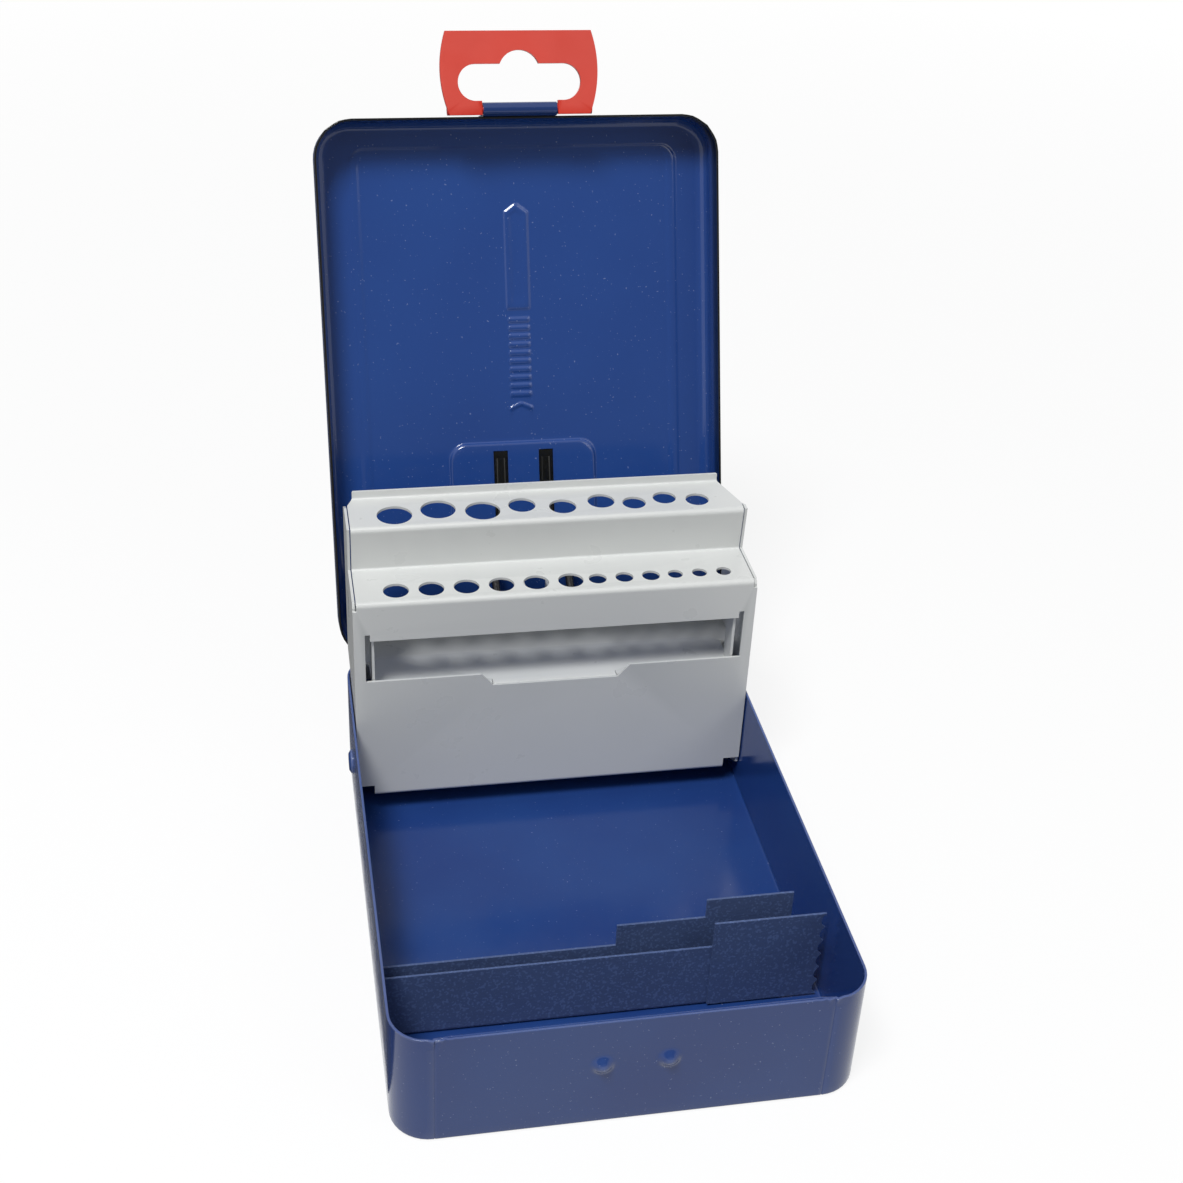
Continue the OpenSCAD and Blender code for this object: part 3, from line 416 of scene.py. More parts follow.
@dataclass(frozen=True)
class PressedPan(ABC):
    """Tray drawn from one sheet, open upwards, with its floor's outer face at z = 0.

    Attributes:
        half_w: half of the outside width.
        near: near end of the outside, along Y, and far its far end.
        height: outside height.
        corner_r: outside radius of the upright corners, and bend_r between walls and floor.
        rim_shade_band: width of the rim that takes the painted shade of a finish's rim colour; 0 leaves the
            rim unmarked.
    """

    half_w: float
    near: float
    far: float
    height: float
    corner_r: float
    bend_r: float
    rim_shade_band: float = 0.0

    # Name of the points' value that marks the rim's painted shade, share of its band on the outer face, and
    # share of the band over which it fades
    RIM_SHADE_MARK = "rim"
    RIM_OUTSIDE = 0.25
    RIM_FADE = 0.5
    # Steps round an upright corner and round the floor's bend
    CORNER_STEPS = 10
    BEND_STEPS = 6
    # Usual spacing of the floor's lines and of the rows on the flat band round them
    COARSE = 3.0
    BAND_STEP = 1.2
    # Rounding of the cut edges
    CUT_EDGE = 0.14

    @property
    def flat_r(self) -> float:
        """Radius of the flat floor at each corner."""
        return self.corner_r - self.bend_r

    @abstractmethod
    def x_lines(self) -> Array:
        """Lines along X on the floor, between the corner axes."""

    def y_lines(self) -> Array:
        """Lines along Y on the floor, between the corner axes."""
        return grid_lines([self.near + self.corner_r, self.far - self.corner_r], self.COARSE, [])

    def flat_rows(self) -> Array:
        """Distances of the rows on the flat band outside the corner axes."""
        return np.linspace(0, self.flat_r, max(3, math.ceil(self.flat_r / self.BAND_STEP)))[1:]

    @abstractmethod
    def wall_rows(self) -> Array:
        """Heights of the rows on the walls."""

    def relief(self, x: Array, y: Array) -> Array:
        """Height of the embossing over the floor, into the tray: none."""
        return np.zeros_like(x)

    @abstractmethod
    def bulge(self, x: Array, y: Array, z: Array) -> Array:
        """Distance by which the walls are pushed outwards, at places x, y and heights z."""

    def keep(self, centre: Array) -> Array:
        """True for faces that stay, from their middle points: all."""
        return np.ones(len(centre), bool)

    def _loop(self, grid: Array) -> tuple[Array, Array]:
        """Points on the corner axes' rectangle and outward directions, once round from the near side.

        Args:
            grid: numbers of the floor's grid points, one row per line along Y.

        Returns:
            Numbers of grid points and unit directions: one direction along each side, turned by 90
            degrees about one grid point at each corner.
        """
        sides = [grid[0], grid[:, -1], grid[-1, ::-1], grid[::-1, 0]]
        steps = self.CORNER_STEPS
        ids, angles = [], []
        for k, side in enumerate(sides):
            facing = (k - 1) * 90.0
            ids += [side, np.full(steps - 1, side[-1])]
            angles += [np.full(len(side), facing), facing + 90 * np.arange(1, steps) / steps]
        a = np.radians(np.concatenate(angles))
        return np.concatenate(ids), np.stack([np.cos(a), np.sin(a)], -1)

    def _section(self) -> tuple[Array, Array]:
        """Section of the sheet's middle outside the corner axes.

        Returns:
            Distance from the axes and height of each row: flat up to flat_r, then the bend, then the wall.
            At turn a of the bend they are flat_r + b sin a and t / 2 + b (1 - cos a), with t the
            sheet's thickness and b = bend_r - t / 2.
        """
        half = SHEET_T / 2
        bend = self.bend_r - half
        turn = np.linspace(0, np.pi / 2, self.BEND_STEPS + 1)[1:]
        flat, walls = self.flat_rows(), self.wall_rows()
        edge = self.flat_r + bend * np.sin(turn)
        reach = np.concatenate([flat, edge, np.full(len(walls), self.flat_r + bend)])
        height = np.concatenate([np.full(len(flat), half), half + bend * (1 - np.cos(turn)), walls])
        return reach, height

    def _surface(self) -> tuple[Array, Array]:
        """Middle surface of the sheet, in the pan's own frame.

        Returns:
            Points of shape (n, 3) and quads of shape (m, 4). A point outside the floor's grid is a point
            of the loop plus the row's distance times the outward direction. A quad of the first row about
            a corner axis has the same first and last point: it is a triangle of a fan.
        """
        xs, ys = np.meshgrid(self.x_lines(), self.y_lines())
        floor = np.stack([xs.ravel(), ys.ravel()], -1)
        grid = np.arange(len(floor)).reshape(xs.shape)
        ids, out = self._loop(grid)
        reach, height = self._section()
        plan = floor[ids][None] + reach[:, None, None] * out[None]
        push = self.bulge(plan[..., 0], plan[..., 1], np.broadcast_to(height[:, None], plan.shape[:2]))
        plan = plan + push[..., None] * out[None]
        rows = np.concatenate([plan, np.broadcast_to(height[:, None, None], (*plan.shape[:2], 1))], -1)
        flat = rows[: len(self.flat_rows())]
        flat[..., 2] += self.relief(flat[..., 0], flat[..., 1])
        base = np.concatenate([floor, SHEET_T / 2 + self.relief(floor[:, 0], floor[:, 1])[:, None]], -1)
        floor_quads = np.stack([grid[:-1, :-1], grid[:-1, 1:], grid[1:, 1:], grid[1:, :-1]], -1)
        rings = len(floor) + np.arange(len(reach) * len(ids)).reshape(len(reach), len(ids))
        rings = np.concatenate([ids[None], rings])
        after = np.roll(rings, -1, axis=1)
        row_quads = np.stack([rings[:-1], rings[1:], after[1:], after[:-1]], -1)
        points = np.concatenate([base, rows.reshape(-1, 3)])
        return points, np.concatenate([floor_quads.reshape(-1, 4), row_quads.reshape(-1, 4)])

    def press(self, name: str, place: Matrix) -> Object:
        """Makes the pan's closed sheet.

        Args:
            name: name of the object.
            place: carries the pan to the row frame, in metres.

        Returns:
            The object.
        """
        points, quads = self._surface()
        quads = quads[self.keep(points[quads].mean(1))]
        used = np.unique(quads)
        number = np.full(len(points), -1)
        number[used] = np.arange(len(used))
        quads = number[quads]
        in_fan = quads[:, 0] == quads[:, 3]
        faces = quads[~in_fan].tolist() + quads[in_fan][:, :3].tolist()
        obj = mesh_object(name, points[used], faces, place)
        thicken(obj, self.CUT_EDGE)
        # Marks the band along the rim that gets painted shade and dark reflection
        if self.rim_shade_band > 0:
            self._mark_rim_shade(obj, place)
        return obj

    def _mark_rim_shade(self, obj: Object, place: Matrix) -> None:
        """Stores the share of the rim's painted shade, 0 to 1, as the RIM_SHADE_MARK value of the points of
        obj.
        """
        mesh = obj.data
        points = np.empty(len(mesh.vertices) * 3, np.float32)
        mesh.vertices.foreach_get("co", points)
        back = np.array(place.inverted())
        x, y, z = (points.reshape(-1, 3) @ back[:3, :3].T + back[:3, 3]).T / MM
        depth = -round_box(x, y, (-self.half_w, self.near), (self.half_w, self.far), self.corner_r)
        inside = soft_step(depth / SHEET_T)
        band = self.rim_shade_band * (self.RIM_OUTSIDE + (1 - self.RIM_OUTSIDE) * inside)
        share = soft_step((z - self.height + band) / (band * self.RIM_FADE))
        mark = mesh.attributes.new(self.RIM_SHADE_MARK, "FLOAT", "POINT")
        mark.data.foreach_set("value", share.astype(np.float32))


@dataclass(frozen=True)
class BasePan(PressedPan):
    """The base: two latch pips, a seam groove at each end of the front panel and a crinkled rim beside it.

    Attributes:
        pip_x: distance of each pip from the middle, and pip_z its centre's height.
        pip_r: radius of a pip's foot, and pip_h how far it stands out.
        seam_half: half of a seam groove's width, and seam_depth its depth.
        wave_h: height of the rim's waves, and wave_rate their turn per millimetre, in radians.
        wave_reach: distance from the seam over which they die out.
        wave_drop: distance below the rim from which they come in, over wave_rise.
    """

    pip_x: float = 7.8
    pip_z: float = 19.1
    pip_r: float = 3.2
    pip_h: float = 1.6
    seam_half: float = 0.3
    seam_depth: float = 0.22
    wave_h: float = 0.3
    wave_rate: float = 3.1
    wave_reach: float = 2.6
    wave_drop: float = 3.0
    wave_rise: float = 2.6

    # Spacing of the lines at a pip, and how far past its foot they keep it
    PIP_STEP = 0.45
    PIP_MARGIN = 0.4
    # Width beside a corner axis and depth below the rim with closer lines, each with its spacing
    CRINKLE_X = (7, 0.7)
    CRINKLE_Z = (4, 0.6)
    WALL_STEP = 2.2
    # Depth of the front panel's points, and share of the corner's radius over which the waves go on
    FRONT_DEPTH = 0.9
    WAVE_TURN = 0.35

    @property
    def seam_x(self) -> float:
        """Distance of each seam from the middle."""
        return self.half_w - self.corner_r - self.seam_half

    def x_lines(self) -> Array:
        """Lines along X, close together at the pips and the seams."""
        reach = self.half_w - self.corner_r
        seam, half = self.seam_x, self.seam_half
        pip = self.pip_r + self.PIP_MARGIN
        width, step = self.CRINKLE_X
        fine = [(self.pip_x - pip, self.pip_x + pip, self.PIP_STEP), (reach - width, reach, step)]
        stops = [-reach, -seam, -seam + half, seam - half, seam, reach]
        return grid_lines(stops, self.COARSE, both_sides(fine))

    def wall_rows(self) -> Array:
        """Heights on the walls, close together at the pips and the rim."""
        pip = self.pip_r + self.PIP_MARGIN
        depth, step = self.CRINKLE_Z
        fine = [(self.pip_z - pip, self.pip_z + pip, self.PIP_STEP), (self.height - depth, self.height, step)]
        return grid_lines([self.bend_r, self.height], self.WALL_STEP, fine)[1:]

    def bulge(self, x: Array, y: Array, z: Array) -> Array:
        """Cosine domes for the pips, V grooves for the seams and short waves along the rim beside them.

        At d past the seam the waves are wave_h sin(wave_rate d) exp(-(d / wave_reach) squared), times a
        soft step that comes in towards the rim.
        """
        away = np.hypot(np.abs(x) - self.pip_x, z - self.pip_z)
        domes = ridge(away, 2 * self.pip_r, self.pip_h)
        past = np.abs(x) - self.seam_x
        groove = -self.seam_depth * np.clip(1 - np.abs(past) / self.seam_half, 0, 1)
        fade = np.exp(-((past / self.wave_reach) ** 2))
        rise = soft_step((z - self.height + self.wave_drop) / self.wave_rise)
        waves = self.wave_h * np.sin(past * self.wave_rate) * fade * rise
        on_panel = y < self.near + self.FRONT_DEPTH
        by_panel = y < self.near + self.corner_r * self.WAVE_TURN
        return np.where(on_panel, domes + groove, 0) + np.where(by_panel, waves, 0)


@dataclass(frozen=True)
class DrillMotif:
    """Outline of a drill for a raised relief: its point is at the far end, its ribbed shank at the near one.

    Attributes:
        tip: place of the point, and shank that of the shank's near end.
        width: outside width, and height the outline's height.
        ribs: number of ribs across the shank, and pitch their spacing.
        gap: gap at each end of the shank.
        foot_w: width of the foot's ridge, and foot_bend how far it bends back per millimetre outwards.
        inset: how much narrower the shank is on each side.
        slope: slope of the point's sides, and slope_cos its cosine.
        soft: width over which the outline rises.
        hollow: share by which the shaft's inside sinks, from hollow_from inside the outline on.
        hollow_soft: width over which it sinks and the foot's ends fade.
    """

    tip: float
    shank: float
    width: float = 7.5
    height: float = 0.42
    ribs: int = 10
    pitch: float = 2.4
    gap: float = 1.6
    foot_w: float = 1.6
    foot_bend: float = 0.45
    inset: float = 0.3
    slope: float = 0.75
    slope_cos: float = 0.8
    soft: float = 0.9
    hollow: float = 0.55
    hollow_from: float = 1.5
    hollow_soft: float = 0.8

    @property
    def shaft(self) -> float:
        """Place where the shaft starts, past the shank's ribs."""
        return self.shank + self.ribs * self.pitch + self.gap

    def relief(self, x: Array, y: Array) -> Array:
        """Height of the outline: a soft plateau with a sunk inside, cosine ribs and a bent ridge."""
        half = self.width / 2
        point = (self.tip - y - self.slope * np.abs(x)) * self.slope_cos
        inside = np.minimum(np.minimum(half - np.abs(x), y - self.shaft), point)
        sunk = self.hollow * soft_step((inside - self.hollow_from) / self.hollow_soft)
        shaft = soft_step(inside / self.soft) - sunk
        rib = 0.5 - 0.5 * np.cos(2 * np.pi * (y - self.shank) / self.pitch)
        on_shank = (y > self.shank) & (y < self.shank + self.ribs * self.pitch)
        shank = np.where(on_shank, rib, 0) * soft_step((half - self.inset - np.abs(x)) / self.soft)
        bent = y - self.shank + self.gap + self.foot_bend * np.abs(x)
        foot = ridge(bent, self.foot_w, 1.0) * soft_step((half - np.abs(x)) / self.hollow_soft)
        return self.height * (shaft + shank + foot)


@dataclass(frozen=True)
class LidPan(PressedPan):
    """The lid in its own frame: a bead round the panel, an embossed drill, a raised field and two slots.

    Attributes:
        bead_front: distance of the bead from the lid's far end, and bead_side from its sides.
        bead_near: place of the bead's near side.
        bead_w: width of the bead, and bead_h its height.
        field_half: half of the raised field's width, and field_h its height.
        field_near: near end of the field, and field_far its far end.
        round_r: radius of the corners of bead and field.
        motif_front: distance of the drill's point from the far end, and motif_gap from shank to field.
        slot_x: distance of each slot from the middle, and slot_w its width.
        slot_near: near end of the slots, and slot_far their far end.
        hinge_half: half of the width of the notch for the hinge, and hinge_clear its depth.
        ripple_h: height of the ripples on the corners' walls, and dent how far those sink.
    """

    bead_front: float = 7.3
    bead_side: float = 9.5
    bead_near: float = 10.0
    bead_w: float = 3.2
    bead_h: float = 0.28
    field_half: float = 21.5
    field_near: float = 20.0
    field_far: float = 60.0
    field_h: float = 1.0
    round_r: float = 5.0
    motif_front: float = 23.0
    motif_gap: float = 13.0
    slot_x: float = 6.75
    slot_w: float = 4.2
    slot_near: float = 26.5
    slot_far: float = 57.7
    hinge_half: float = 43.0
    hinge_clear: float = 2.25
    ripple_h: float = 0.1
    dent: float = 0.16

    # Width over which the bead's and the field's sides rise, and how far outside the field's end
    BEAD_SOFT = 0.9
    FIELD_SOFT = 1.0
    FIELD_OUT = 0.4
    # Spacing of the lines along X and Y; rows on the bead's band, on the walls and on the hinge notch
    LINE_STEPS = (2.6, 2.4)
    BAND_ROWS = 13
    WALL_ROWS = 4
    NOTCH_ROWS = 3
    # Closer lines along X at the drill's sides and over the drill
    MOTIF_SIDE = (2.6, 4.6, 0.3)
    MOTIF_WHOLE = (-4.6, 4.6, 0.55)
    # Ripples' rates round the corner, strength of the second, share of the height at which they start, and
    # the height over which they come in
    RIPPLES = (26, 41)
    SECOND_RIPPLE = 0.6
    RIPPLE_FROM = 0.45
    RIPPLE_RISE = 6

    @property
    def motif(self) -> DrillMotif:
        """The drill outline, between the raised field and the lid's far end."""
        return DrillMotif(self.far - self.motif_front, self.field_far + self.motif_gap)

    def x_lines(self) -> Array:
        """Lines along X, close together at the drill, the field's sides and the bead."""
        reach, hinge, side = self.half_w - self.corner_r, self.hinge_half, self.field_half
        slot = [self.slot_x - self.slot_w / 2, self.slot_x + self.slot_w / 2]
        stops = [-reach, -hinge, -slot[1], -slot[0], slot[0], slot[1], hinge, reach]
        fine = both_sides([self.MOTIF_SIDE, (side - 1.4, side + 1, 0.4), (side - 5, side + 1, 0.8),
                           (hinge, reach, 0.5)])
        return grid_lines(stops, self.LINE_STEPS[0], fine + [self.MOTIF_WHOLE])

    def y_lines(self) -> Array:
        """Lines along Y, close together at the drill, the field's ends and the bead."""
        low, high = self.near + self.corner_r, self.far - self.corner_r
        near, far, drill = self.field_near, self.field_far, self.motif
        return grid_lines([low, self.slot_near, self.slot_far, high], self.LINE_STEPS[1],
                          [(drill.shank - 3.6, drill.shaft + 1.4, 0.4), (drill.tip - 4.6, drill.tip + 1, 0.35),
                           (far - 1.4, far + 1, 0.4), (far - 5, far + 1, 0.8), (near - 1, near + 1.4, 0.5),
                           (high - 2.4, high, 0.5), (low, low + 3, 0.6)])

    def flat_rows(self) -> Array:
        """Distances of the rows on the band that carries the bead."""
        return np.linspace(0, self.flat_r, self.BAND_ROWS + 1)[1:]

    def wall_rows(self) -> Array:
        """Heights on the walls, with a row where the hinge notch ends."""
        notch = self.height - self.hinge_clear
        return np.concatenate([np.linspace(self.bend_r, notch, self.WALL_ROWS + 1)[1:],
                               np.linspace(notch, self.height, self.NOTCH_ROWS + 1)[1:]])

    def relief(self, x: Array, y: Array) -> Array:
        """Sum of the bead's soft-sided band, the field's soft plateau and the drill."""
        side, half = self.half_w - self.bead_side, self.bead_w / 2
        bead = round_box(x, y, (-side, self.bead_near), (side, self.far - self.bead_front), self.round_r)
        field = round_box(x, y, (-self.field_half, self.field_near), (self.field_half, self.field_far),
                          self.round_r)
        return (self.bead_h * soft_step((half - np.abs(bead + half)) / self.BEAD_SOFT)
                + self.field_h * soft_step((self.FIELD_OUT - field) / self.FIELD_SOFT)
                + self.motif.relief(x, y))

    def bulge(self, x: Array, y: Array, z: Array) -> Array:
        """Small waves on the far corners' walls, where the drawn sheet crowds: two sines less a shallow
        dent, times a window that is soft round the corner's turn and towards the floor."""
        along = np.maximum(y - (self.far - self.corner_r), 0)
        across = np.maximum(np.abs(x) - self.half_w + self.corner_r, 1e-9)
        turn = np.arctan2(along, across)
        rise = soft_step((z - self.height * self.RIPPLE_FROM) / self.RIPPLE_RISE)
        window = np.clip(np.sin(2 * turn), 0, 1) * rise
        first, second = self.RIPPLES
        ripples = np.sin(turn * first) + self.SECOND_RIPPLE * np.sin(turn * second + z)
        return self.ripple_h * ripples * window - self.dent * window

    def keep(self, centre: Array) -> Array:
        """Leaves out the slots and the hinge's notch in the near wall."""
        x, y, z = centre.T
        by_slot = np.abs(np.abs(x) - self.slot_x) < self.slot_w / 2
        in_slot = by_slot & (y > self.slot_near) & (y < self.slot_far) & (z < self.height / 2)
        in_wall = (np.abs(x) < self.hinge_half) & (y < self.near + SHEET_T)
        return ~in_slot & ~(in_wall & (z > self.height - self.hinge_clear))


@dataclass(frozen=True)
class FrontHem:
    """Hem folded inside the base's front rim: a rounded strip that dips and waves at its ends.

    Attributes:
        half_l: half of its length, and height its height.
        front: place of the front wall's outer face, and gap the strip's gap to the wall.
        top: height of the base's rim.
        sink: how far its ends sink, and over which distance.
        wave: height of the waves at its ends, their turn per millimetre in radians, and their reach.
    """

    half_l: float
    front: float
    top: float
    height: float = 3.0
    gap: float = 0.02
    sink: Pair = (0.5, 1.6)
    wave: tuple[float, float, float] = (0.15, 2.1, 3.5)

    # Power of the profile's cosine and sine: 1 is an ellipse, 0 a rectangle
    SQUASH = 0.35
    PROFILE_POINTS = 24
    # Spacing along the strip, and the length at each end with closer points and their spacing
    COARSE = 4.0
    END = (8, 0.5)

    def fold(self, name: str) -> Object:
        """Carries the strip's profile along X.

        Args:
            name: name of the object.

        Returns:
            The object. At a distance d from the nearer end the strip sinks by s exp(-(d / r) squared) and
            stands off the wall by w sin(k d) exp(-(d / q) squared), with s, r and w, k, q its values.
        """
        t = np.linspace(0, 2 * np.pi, self.PROFILE_POINTS + 1)[:-1]
        py = np.sign(np.cos(t)) * np.abs(np.cos(t)) ** self.SQUASH * (SHEET_T / 2)
        pz = np.sign(np.sin(t)) * np.abs(np.sin(t)) ** self.SQUASH * self.height / 2
        length, step = self.END
        x = grid_lines([-self.half_l, self.half_l], self.COARSE,
                       both_sides([(self.half_l - length, self.half_l, step)]))
        from_end = self.half_l - np.abs(x)
        depth, reach = self.sink
        sink = depth * np.exp(-((from_end / reach) ** 2))
        high, rate, fade = self.wave
        wave = high * np.sin(from_end * rate) * np.exp(-((from_end / fade) ** 2))
        points = np.stack([np.broadcast_to(x[:, None], (len(x), len(t))),
                           self.front + 1.5 * SHEET_T + self.gap + wave[:, None] + py[None],
                           self.top - self.height / 2 - sink[:, None] + pz[None]], -1)
        rings = np.arange(len(x) * len(t)).reshape(len(x), len(t))
        after = np.roll(rings, -1, axis=1)
        quads = np.stack([rings[1:], after[1:], after[:-1], rings[:-1]], -1).reshape(-1, 4)
        caps = [rings[0].tolist(), rings[-1, ::-1].tolist()]
        return mesh_object(name, points.reshape(-1, 3), quads.tolist() + caps)


class Case:
    """Dresses the whole case: pressed pans in place of two nodes, finishes on all the others."""

    # Finish of each node and the rounding of its edges, 0 for none
    LOOKS = {
        "base_tray": (BASE_ENAMEL, 0), "divider_channel": (WRINKLE_ENAMEL, 0.1),
        "divider_gate": (WRINKLE_ENAMEL, 0.1), "hinge_leaf_base": (BASE_ENAMEL, 0.12),
        "hinge_pin": (DRAWN_STEEL, 0), "pivot_rivet_left": (BASE_ENAMEL, 0.2),
        "pivot_rivet_right": (BASE_ENAMEL, 0.2), "lid_pan": (LID_ENAMEL, 0),
        "hinge_leaf_lid": (LID_ENAMEL, 0.12), "tab_strap": (LID_ENAMEL, 0.12),
        "link_bracket": (BLACK_POLYAMIDE, 0.25), "rack_shell": (GREY_COAT, 0.24),
        "rack_cheek_left": (GREY_COAT, 0.12), "rack_cheek_right": (GREY_COAT, 0.12),
        "rack_rear_shelf": (GREY_COAT, 0.12), "lift_link": (BLACK_WIRE, 0), "hang_tab": (RED_PP, 0.5),
    }
    EDGE_SEGMENTS = 3
    EDGE_TURN = 40
    # Upright corners and floor bend of the base, and how much shorter than its front panel the hem is
    CORNER_R = 9.5
    BASE_BEND = 1.0
    HEM_SHORT = 0.2
    # The lid's inside depth, rear end from the hinge axis, gaps to the base, bend, and width of the painted
    # shade on its rim
    LID_DEPTH = 13.4
    LID_REAR = 0.8
    SIDE_GAP = 0.45
    FRONT_GAP = 0.3
    LID_BEND = 3.5
    LID_RIM_SHADE = 7.0

    def __init__(self, frame: dict) -> None:
        self.nodes = frame["nodes"]
        self.joints = {j["name"]: j for j in frame["joints"]}
        self.painter = Painter()
        low, self.high = (np.array(c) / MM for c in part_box("base_tray"))
        self.front = low[1] + BasePan.pip_h

    def build(self) -> None:
        """Paints the nodes and makes the pans."""
        for name, obj in self.nodes.items():
            finish, edge = self.LOOKS[name]
            self.painter.paint(obj, finish)
            if edge > 0:
                round_edges(obj, edge, self.EDGE_SEGMENTS, self.EDGE_TURN)
            LOG.info("%s: %s", name, finish.name)
        self.base()
        self.lid()

    def base(self) -> None:
        """Makes the base pan and its hem."""
        half_w, far, top = self.high
        pan = BasePan(half_w, self.front, far, top, self.CORNER_R, self.BASE_BEND)
        tray = pan.press("base_pan", Matrix.Identity(4))
        self._wear(tray, BASE_ENAMEL, "base", "blue_enamel", "base_tray")
        hem = FrontHem(half_w - self.CORNER_R - self.HEM_SHORT, self.front, top).fold("front_hem")
        self._wear(hem, BASE_ENAMEL, "base", "blue_enamel")

    def lid(self) -> None:
        """Makes the lid pan, turned open about the hinge by the whole range of its joint."""
        hinge = self.joints["lid_hinge"]
        lean = hinge["range_deg"][1] - 90
        depth = self.LID_DEPTH + SHEET_T
        pan = LidPan(
            half_w=self.high[0] + self.SIDE_GAP + SHEET_T,
            near=self.LID_REAR,
            far=hinge["pos_m"][1] / MM - self.front + self.FRONT_GAP + SHEET_T,
            height=depth,
            corner_r=self.CORNER_R + self.SIDE_GAP + SHEET_T,
            bend_r=self.LID_BEND,
            rim_shade_band=self.LID_RIM_SHADE,
        )
        turn = Matrix.Rotation(math.radians(90 - lean), 4, "X")
        place = Matrix.Translation(Vector(hinge["pos_m"])) @ turn @ Matrix.Translation((0, 0, -depth * MM))
        lid = pan.press("lid_sheet", place)
        self._wear(lid, LID_ENAMEL, "lid", "blue_enamel", "lid_pan")

    def _wear(self, obj: Object, finish: Finish, body: str, slot: str, *stands_for: str) -> None:
        """Paints a new piece, lets it ride and hides the nodes that it stands for.

        Args:
            obj: the piece, and finish its finish.
            body: body that it moves with; slot is not used.
            stands_for: nodes that it replaces, if any.
        """
        self.painter.paint(obj, finish)
        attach(obj, body)
        if stands_for:
            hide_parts(*stands_for)
        LOG.info("%s: %s, %d faces", obj.name, finish.name, len(obj.data.polygons))


@dataclass(frozen=True)
class CameraFit:
    """Camera found from the photograph, in the row frame.

    Attributes:
        position: place of the camera.
        yaw: turn from +Y towards +X, pitch tilt below level, and roll turn about the line of sight.
        lens: focal length, sensor the picture's width there, and shift the picture's shift in widths.
        clip_m: nearest and farthest distance shown, in metres.
    """

    position: Point = (-74.41, -348.70, 326.58)
    yaw: float = 11.946
    pitch: float = 32.563
    roll: float = 2.974
    lens: float = 53.857
    sensor: float = 36
    shift: Pair = (0.00101, 0.00025)
    clip_m: Pair = (0.01, 20)

    def place(self) -> None:
        """Makes the scene's camera: its axes are right, up and back, turned by the roll."""
        yaw, pitch, roll = (math.radians(v) for v in (self.yaw, self.pitch, self.roll))
        level = Vector((math.cos(yaw), -math.sin(yaw), 0))
        forward = Vector((math.sin(yaw) * math.cos(pitch), math.cos(yaw) * math.cos(pitch), -math.sin(pitch)))
        above = level.cross(forward)
        right = math.cos(roll) * level + math.sin(roll) * above
        up = -math.sin(roll) * level + math.cos(roll) * above
        data = bpy.data.cameras.new("camera")
        data.sensor_width = self.sensor
        data.lens = self.lens
        data.shift_x, data.shift_y = self.shift
        data.clip_start, data.clip_end = self.clip_m
        camera = bpy.data.objects.new("camera", data)
        axes = zip(right, up, -forward, (v * MM for v in self.position))
        camera.matrix_world = Matrix((*axes, (0, 0, 0, 1)))
        bpy.context.scene.collection.objects.link(camera)
        bpy.context.scene.camera = camera


def level_card(near: Pair, far: Pair, lift: float = 0.0008) -> list[Point]:
    """Corners of a level rectangle between two corners, lifted a little off the floor."""
    (x0, y0), (x1, y1) = near, far
    return [(x0, y0, lift), (x1, y0, lift), (x1, y1, lift), (x0, y1, lift)]


@dataclass(frozen=True)
class Card:
    """Dark card that only reflections show, as a photographer's flag.

    Attributes:
        name: name of the card.
        corners: its four corners.
        share: how much of the reflection it takes, 0 to 1.
    """

    name: str
    corners: list[Point]
    share: float


@dataclass(frozen=True)
class Lamp:
    """Square soft lamp aimed at a point.

    Attributes:
        name: name of the lamp.
        place: its place, and target the point that it is aimed at.
        size: side of the square, and watts the lamp's power.
    """

    name: str
    place: Point
    target: Point
    size: float
    watts: float

    def hang(self) -> None:
        """Puts the lamp in the scene."""
        data = bpy.data.lights.new(self.name, "AREA")
        data.shape = "SQUARE"
        data.size = self.size
        data.energy = self.watts
        obj = bpy.data.objects.new(self.name, data)
        obj.location = Vector(self.place)
        obj.rotation_mode = "QUATERNION"
        obj.rotation_quaternion = (Vector(self.target) - Vector(self.place)).to_track_quat("-Z", "Y")
        bpy.context.scene.collection.objects.link(obj)


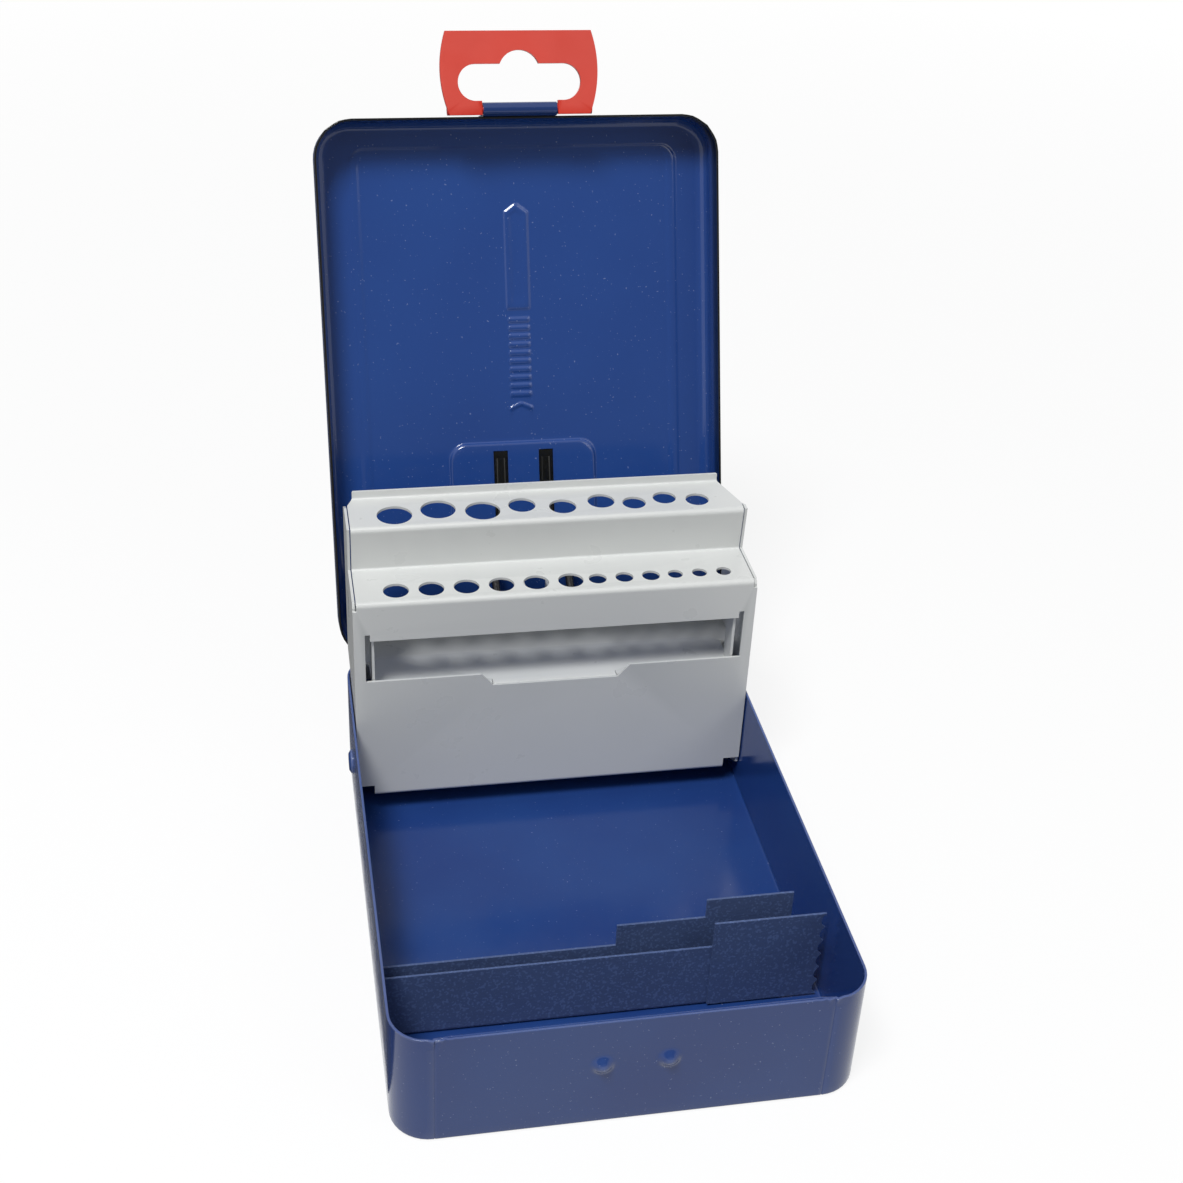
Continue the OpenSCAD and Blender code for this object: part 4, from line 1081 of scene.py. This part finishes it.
class Studio:
    """White floor and surround, soft lamps, and dark cards that only reflections show. Lengths in metres."""

    # Card left of the base for its outer wall, and two in front for the lid's panel and the rack's face
    CARDS = (
        Card("side_flag", level_card((-0.0568, -0.06), (-0.9, 1.2)), 0.93),
        Card("floor_flag", level_card((-1.4, -1.6), (1.4, -0.6)), 0.75),
        Card(
            "front_flag", [(-1.4, -1.6, -0.1), (1.4, -1.6, -0.1), (1.4, -1.6, 1.9), (-1.4, -1.6, 1.9)], 0.75
        ),
    )
    CARD_COLOUR = (0.012, 0.014, 0.02, 1)
    LAMPS = (
        Lamp("key", (-0.42, -0.5, 1.38), (0, 0.03, 0.04), 0.4, 18.5),
        Lamp("fill", (0.95, -0.95, 1.1), (0, 0, 0.07), 0.8, 3.2),
    )
    WHITE = (1, 1, 1, 1)
    WORLD_COLOUR = (0.96, 0.98, 1, 1)
    WORLD_STRENGTH = 0.27
    FLOOR_HALF = 3
    # Grey of the floor for the light that it throws back, and for the shade seen on it
    FLOOR_BOUNCE = (0.42, 0.42, 0.42, 1)
    FLOOR_SEEN = (0.92, 0.92, 0.92, 1)
    # Share of real shade on the floor, and the distances between which it fades to none
    KEEP_SHADOW = 0.14
    SHADOW_SPAN = (0.3, 1.0)

    def build(self) -> None:
        """Makes everything of the studio."""
        CameraFit().place()
        self.floor()
        self.world()
        for card in self.CARDS:
            self.card(card)
        for lamp in self.LAMPS:
            lamp.hang()

    def _quad(self, name: str, corners: list[Point]) -> Tree:
        """Makes one flat stage panel and returns the empty node tree of its material."""
        mesh = bpy.data.meshes.new(name)
        mesh.from_pydata(corners, [], [(0, 1, 2, 3)])
        material = bpy.data.materials.new(name)
        material.use_nodes = True
        material.node_tree.nodes.clear()
        mesh.materials.append(material)
        obj = bpy.data.objects.new(name, mesh)
        bpy.context.scene.collection.objects.link(obj)
        return material.node_tree

    def _seen(self, tree: Tree) -> Socket:
        """1 for camera, glossy and transmission rays, else 0."""
        path = add_node(tree, "LightPath").outputs
        inputs = {0: path["Is Camera Ray"], 1: path["Is Glossy Ray"]}
        first = add_node(tree, "Math", inputs, operation="MAXIMUM").outputs[0]
        inputs = {0: first, 1: path["Is Transmission Ray"]}
        return add_node(tree, "Math", inputs, operation="MAXIMUM").outputs[0]

    def _blend(self, tree: Tree, share: Socket, first: Node, second: Node, output: str) -> None:
        """Mixes two shader nodes by the second's share and sends the mix to an output node."""
        mix = add_node(tree, "MixShader", {"Fac": share, 1: first.outputs[0], 2: second.outputs[0]})
        add_node(tree, output, {"Surface": mix.outputs["Shader"]})

    def floor(self) -> None:
        """White floor: plain white where it is seen, with a share of real shade for the shadow.

        It throws back less light than it shows, so that upright faces stay darker than level ones. The
        shade fades with distance, so that the floor meets the surround unseen.
        """
        side = self.FLOOR_HALF
        tree = self._quad("floor", [(-side, -side, 0), (side, -side, 0), (side, side, 0), (-side, side, 0)])
        seen = self._seen(tree)
        inputs = {"Factor": seen, "A": self.FLOOR_BOUNCE, "B": self.FLOOR_SEEN}
        grey = add_node(tree, "Mix", inputs, data_type="RGBA")
        matt = add_node(tree, "BsdfDiffuse", {"Color": grey.outputs["Result"]})
        white = add_node(tree, "Emission", {"Color": self.WHITE, "Strength": 1.0})
        where = add_node(tree, "TexCoord").outputs["Object"]
        away = add_node(tree, "VectorMath", {0: where}, operation="LENGTH").outputs["Value"]
        near, far = self.SHADOW_SPAN
        inputs = {"Value": away, "From Min": near, "From Max": far,
                  "To Min": 1 - self.KEEP_SHADOW, "To Max": 1.0}
        plain = add_node(tree, "MapRange", inputs).outputs["Result"]
        share = add_node(tree, "Math", {0: seen, 1: plain}, operation="MULTIPLY").outputs[0]
        self._blend(tree, share, matt, white, "OutputMaterial")

    def card(self, card: Card) -> None:
        """Puts up a card: dark for glossy rays, clear for every other ray."""
        tree = self._quad(card.name, card.corners)
        glossy = add_node(tree, "LightPath").outputs["Is Glossy Ray"]
        clear = add_node(tree, "BsdfTransparent")
        dark = add_node(tree, "Emission", {"Color": self.CARD_COLOUR, "Strength": 1.0})
        share = add_node(tree, "Math", {0: glossy, 1: card.share}, operation="MULTIPLY").outputs[0]
        self._blend(tree, share, clear, dark, "OutputMaterial")

    def world(self) -> None:
        """Even pale light, and plain white where the camera or a reflection sees past the floor."""
        world = bpy.data.worlds.new("studio")
        bpy.context.scene.world = world
        world.use_nodes = True
        tree = world.node_tree
        tree.nodes.clear()
        light = add_node(tree, "Background", {"Color": self.WORLD_COLOUR, "Strength": self.WORLD_STRENGTH})
        white = add_node(tree, "Background", {"Color": self.WHITE, "Strength": 1.0})
        self._blend(tree, self._seen(tree), light, white, "OutputWorld")


def main() -> None:
    """Builds the whole scene."""
    logging.basicConfig(level=logging.INFO, format="%(name)s: %(message)s")
    for obj in list(bpy.data.objects):
        bpy.data.objects.remove(obj)
    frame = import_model()
    bpy.context.scene.view_settings.view_transform = "Standard"
    Case(frame).build()
    Studio().build()
    bpy.context.view_layer.update()


if __name__ == "__main__":
    main()
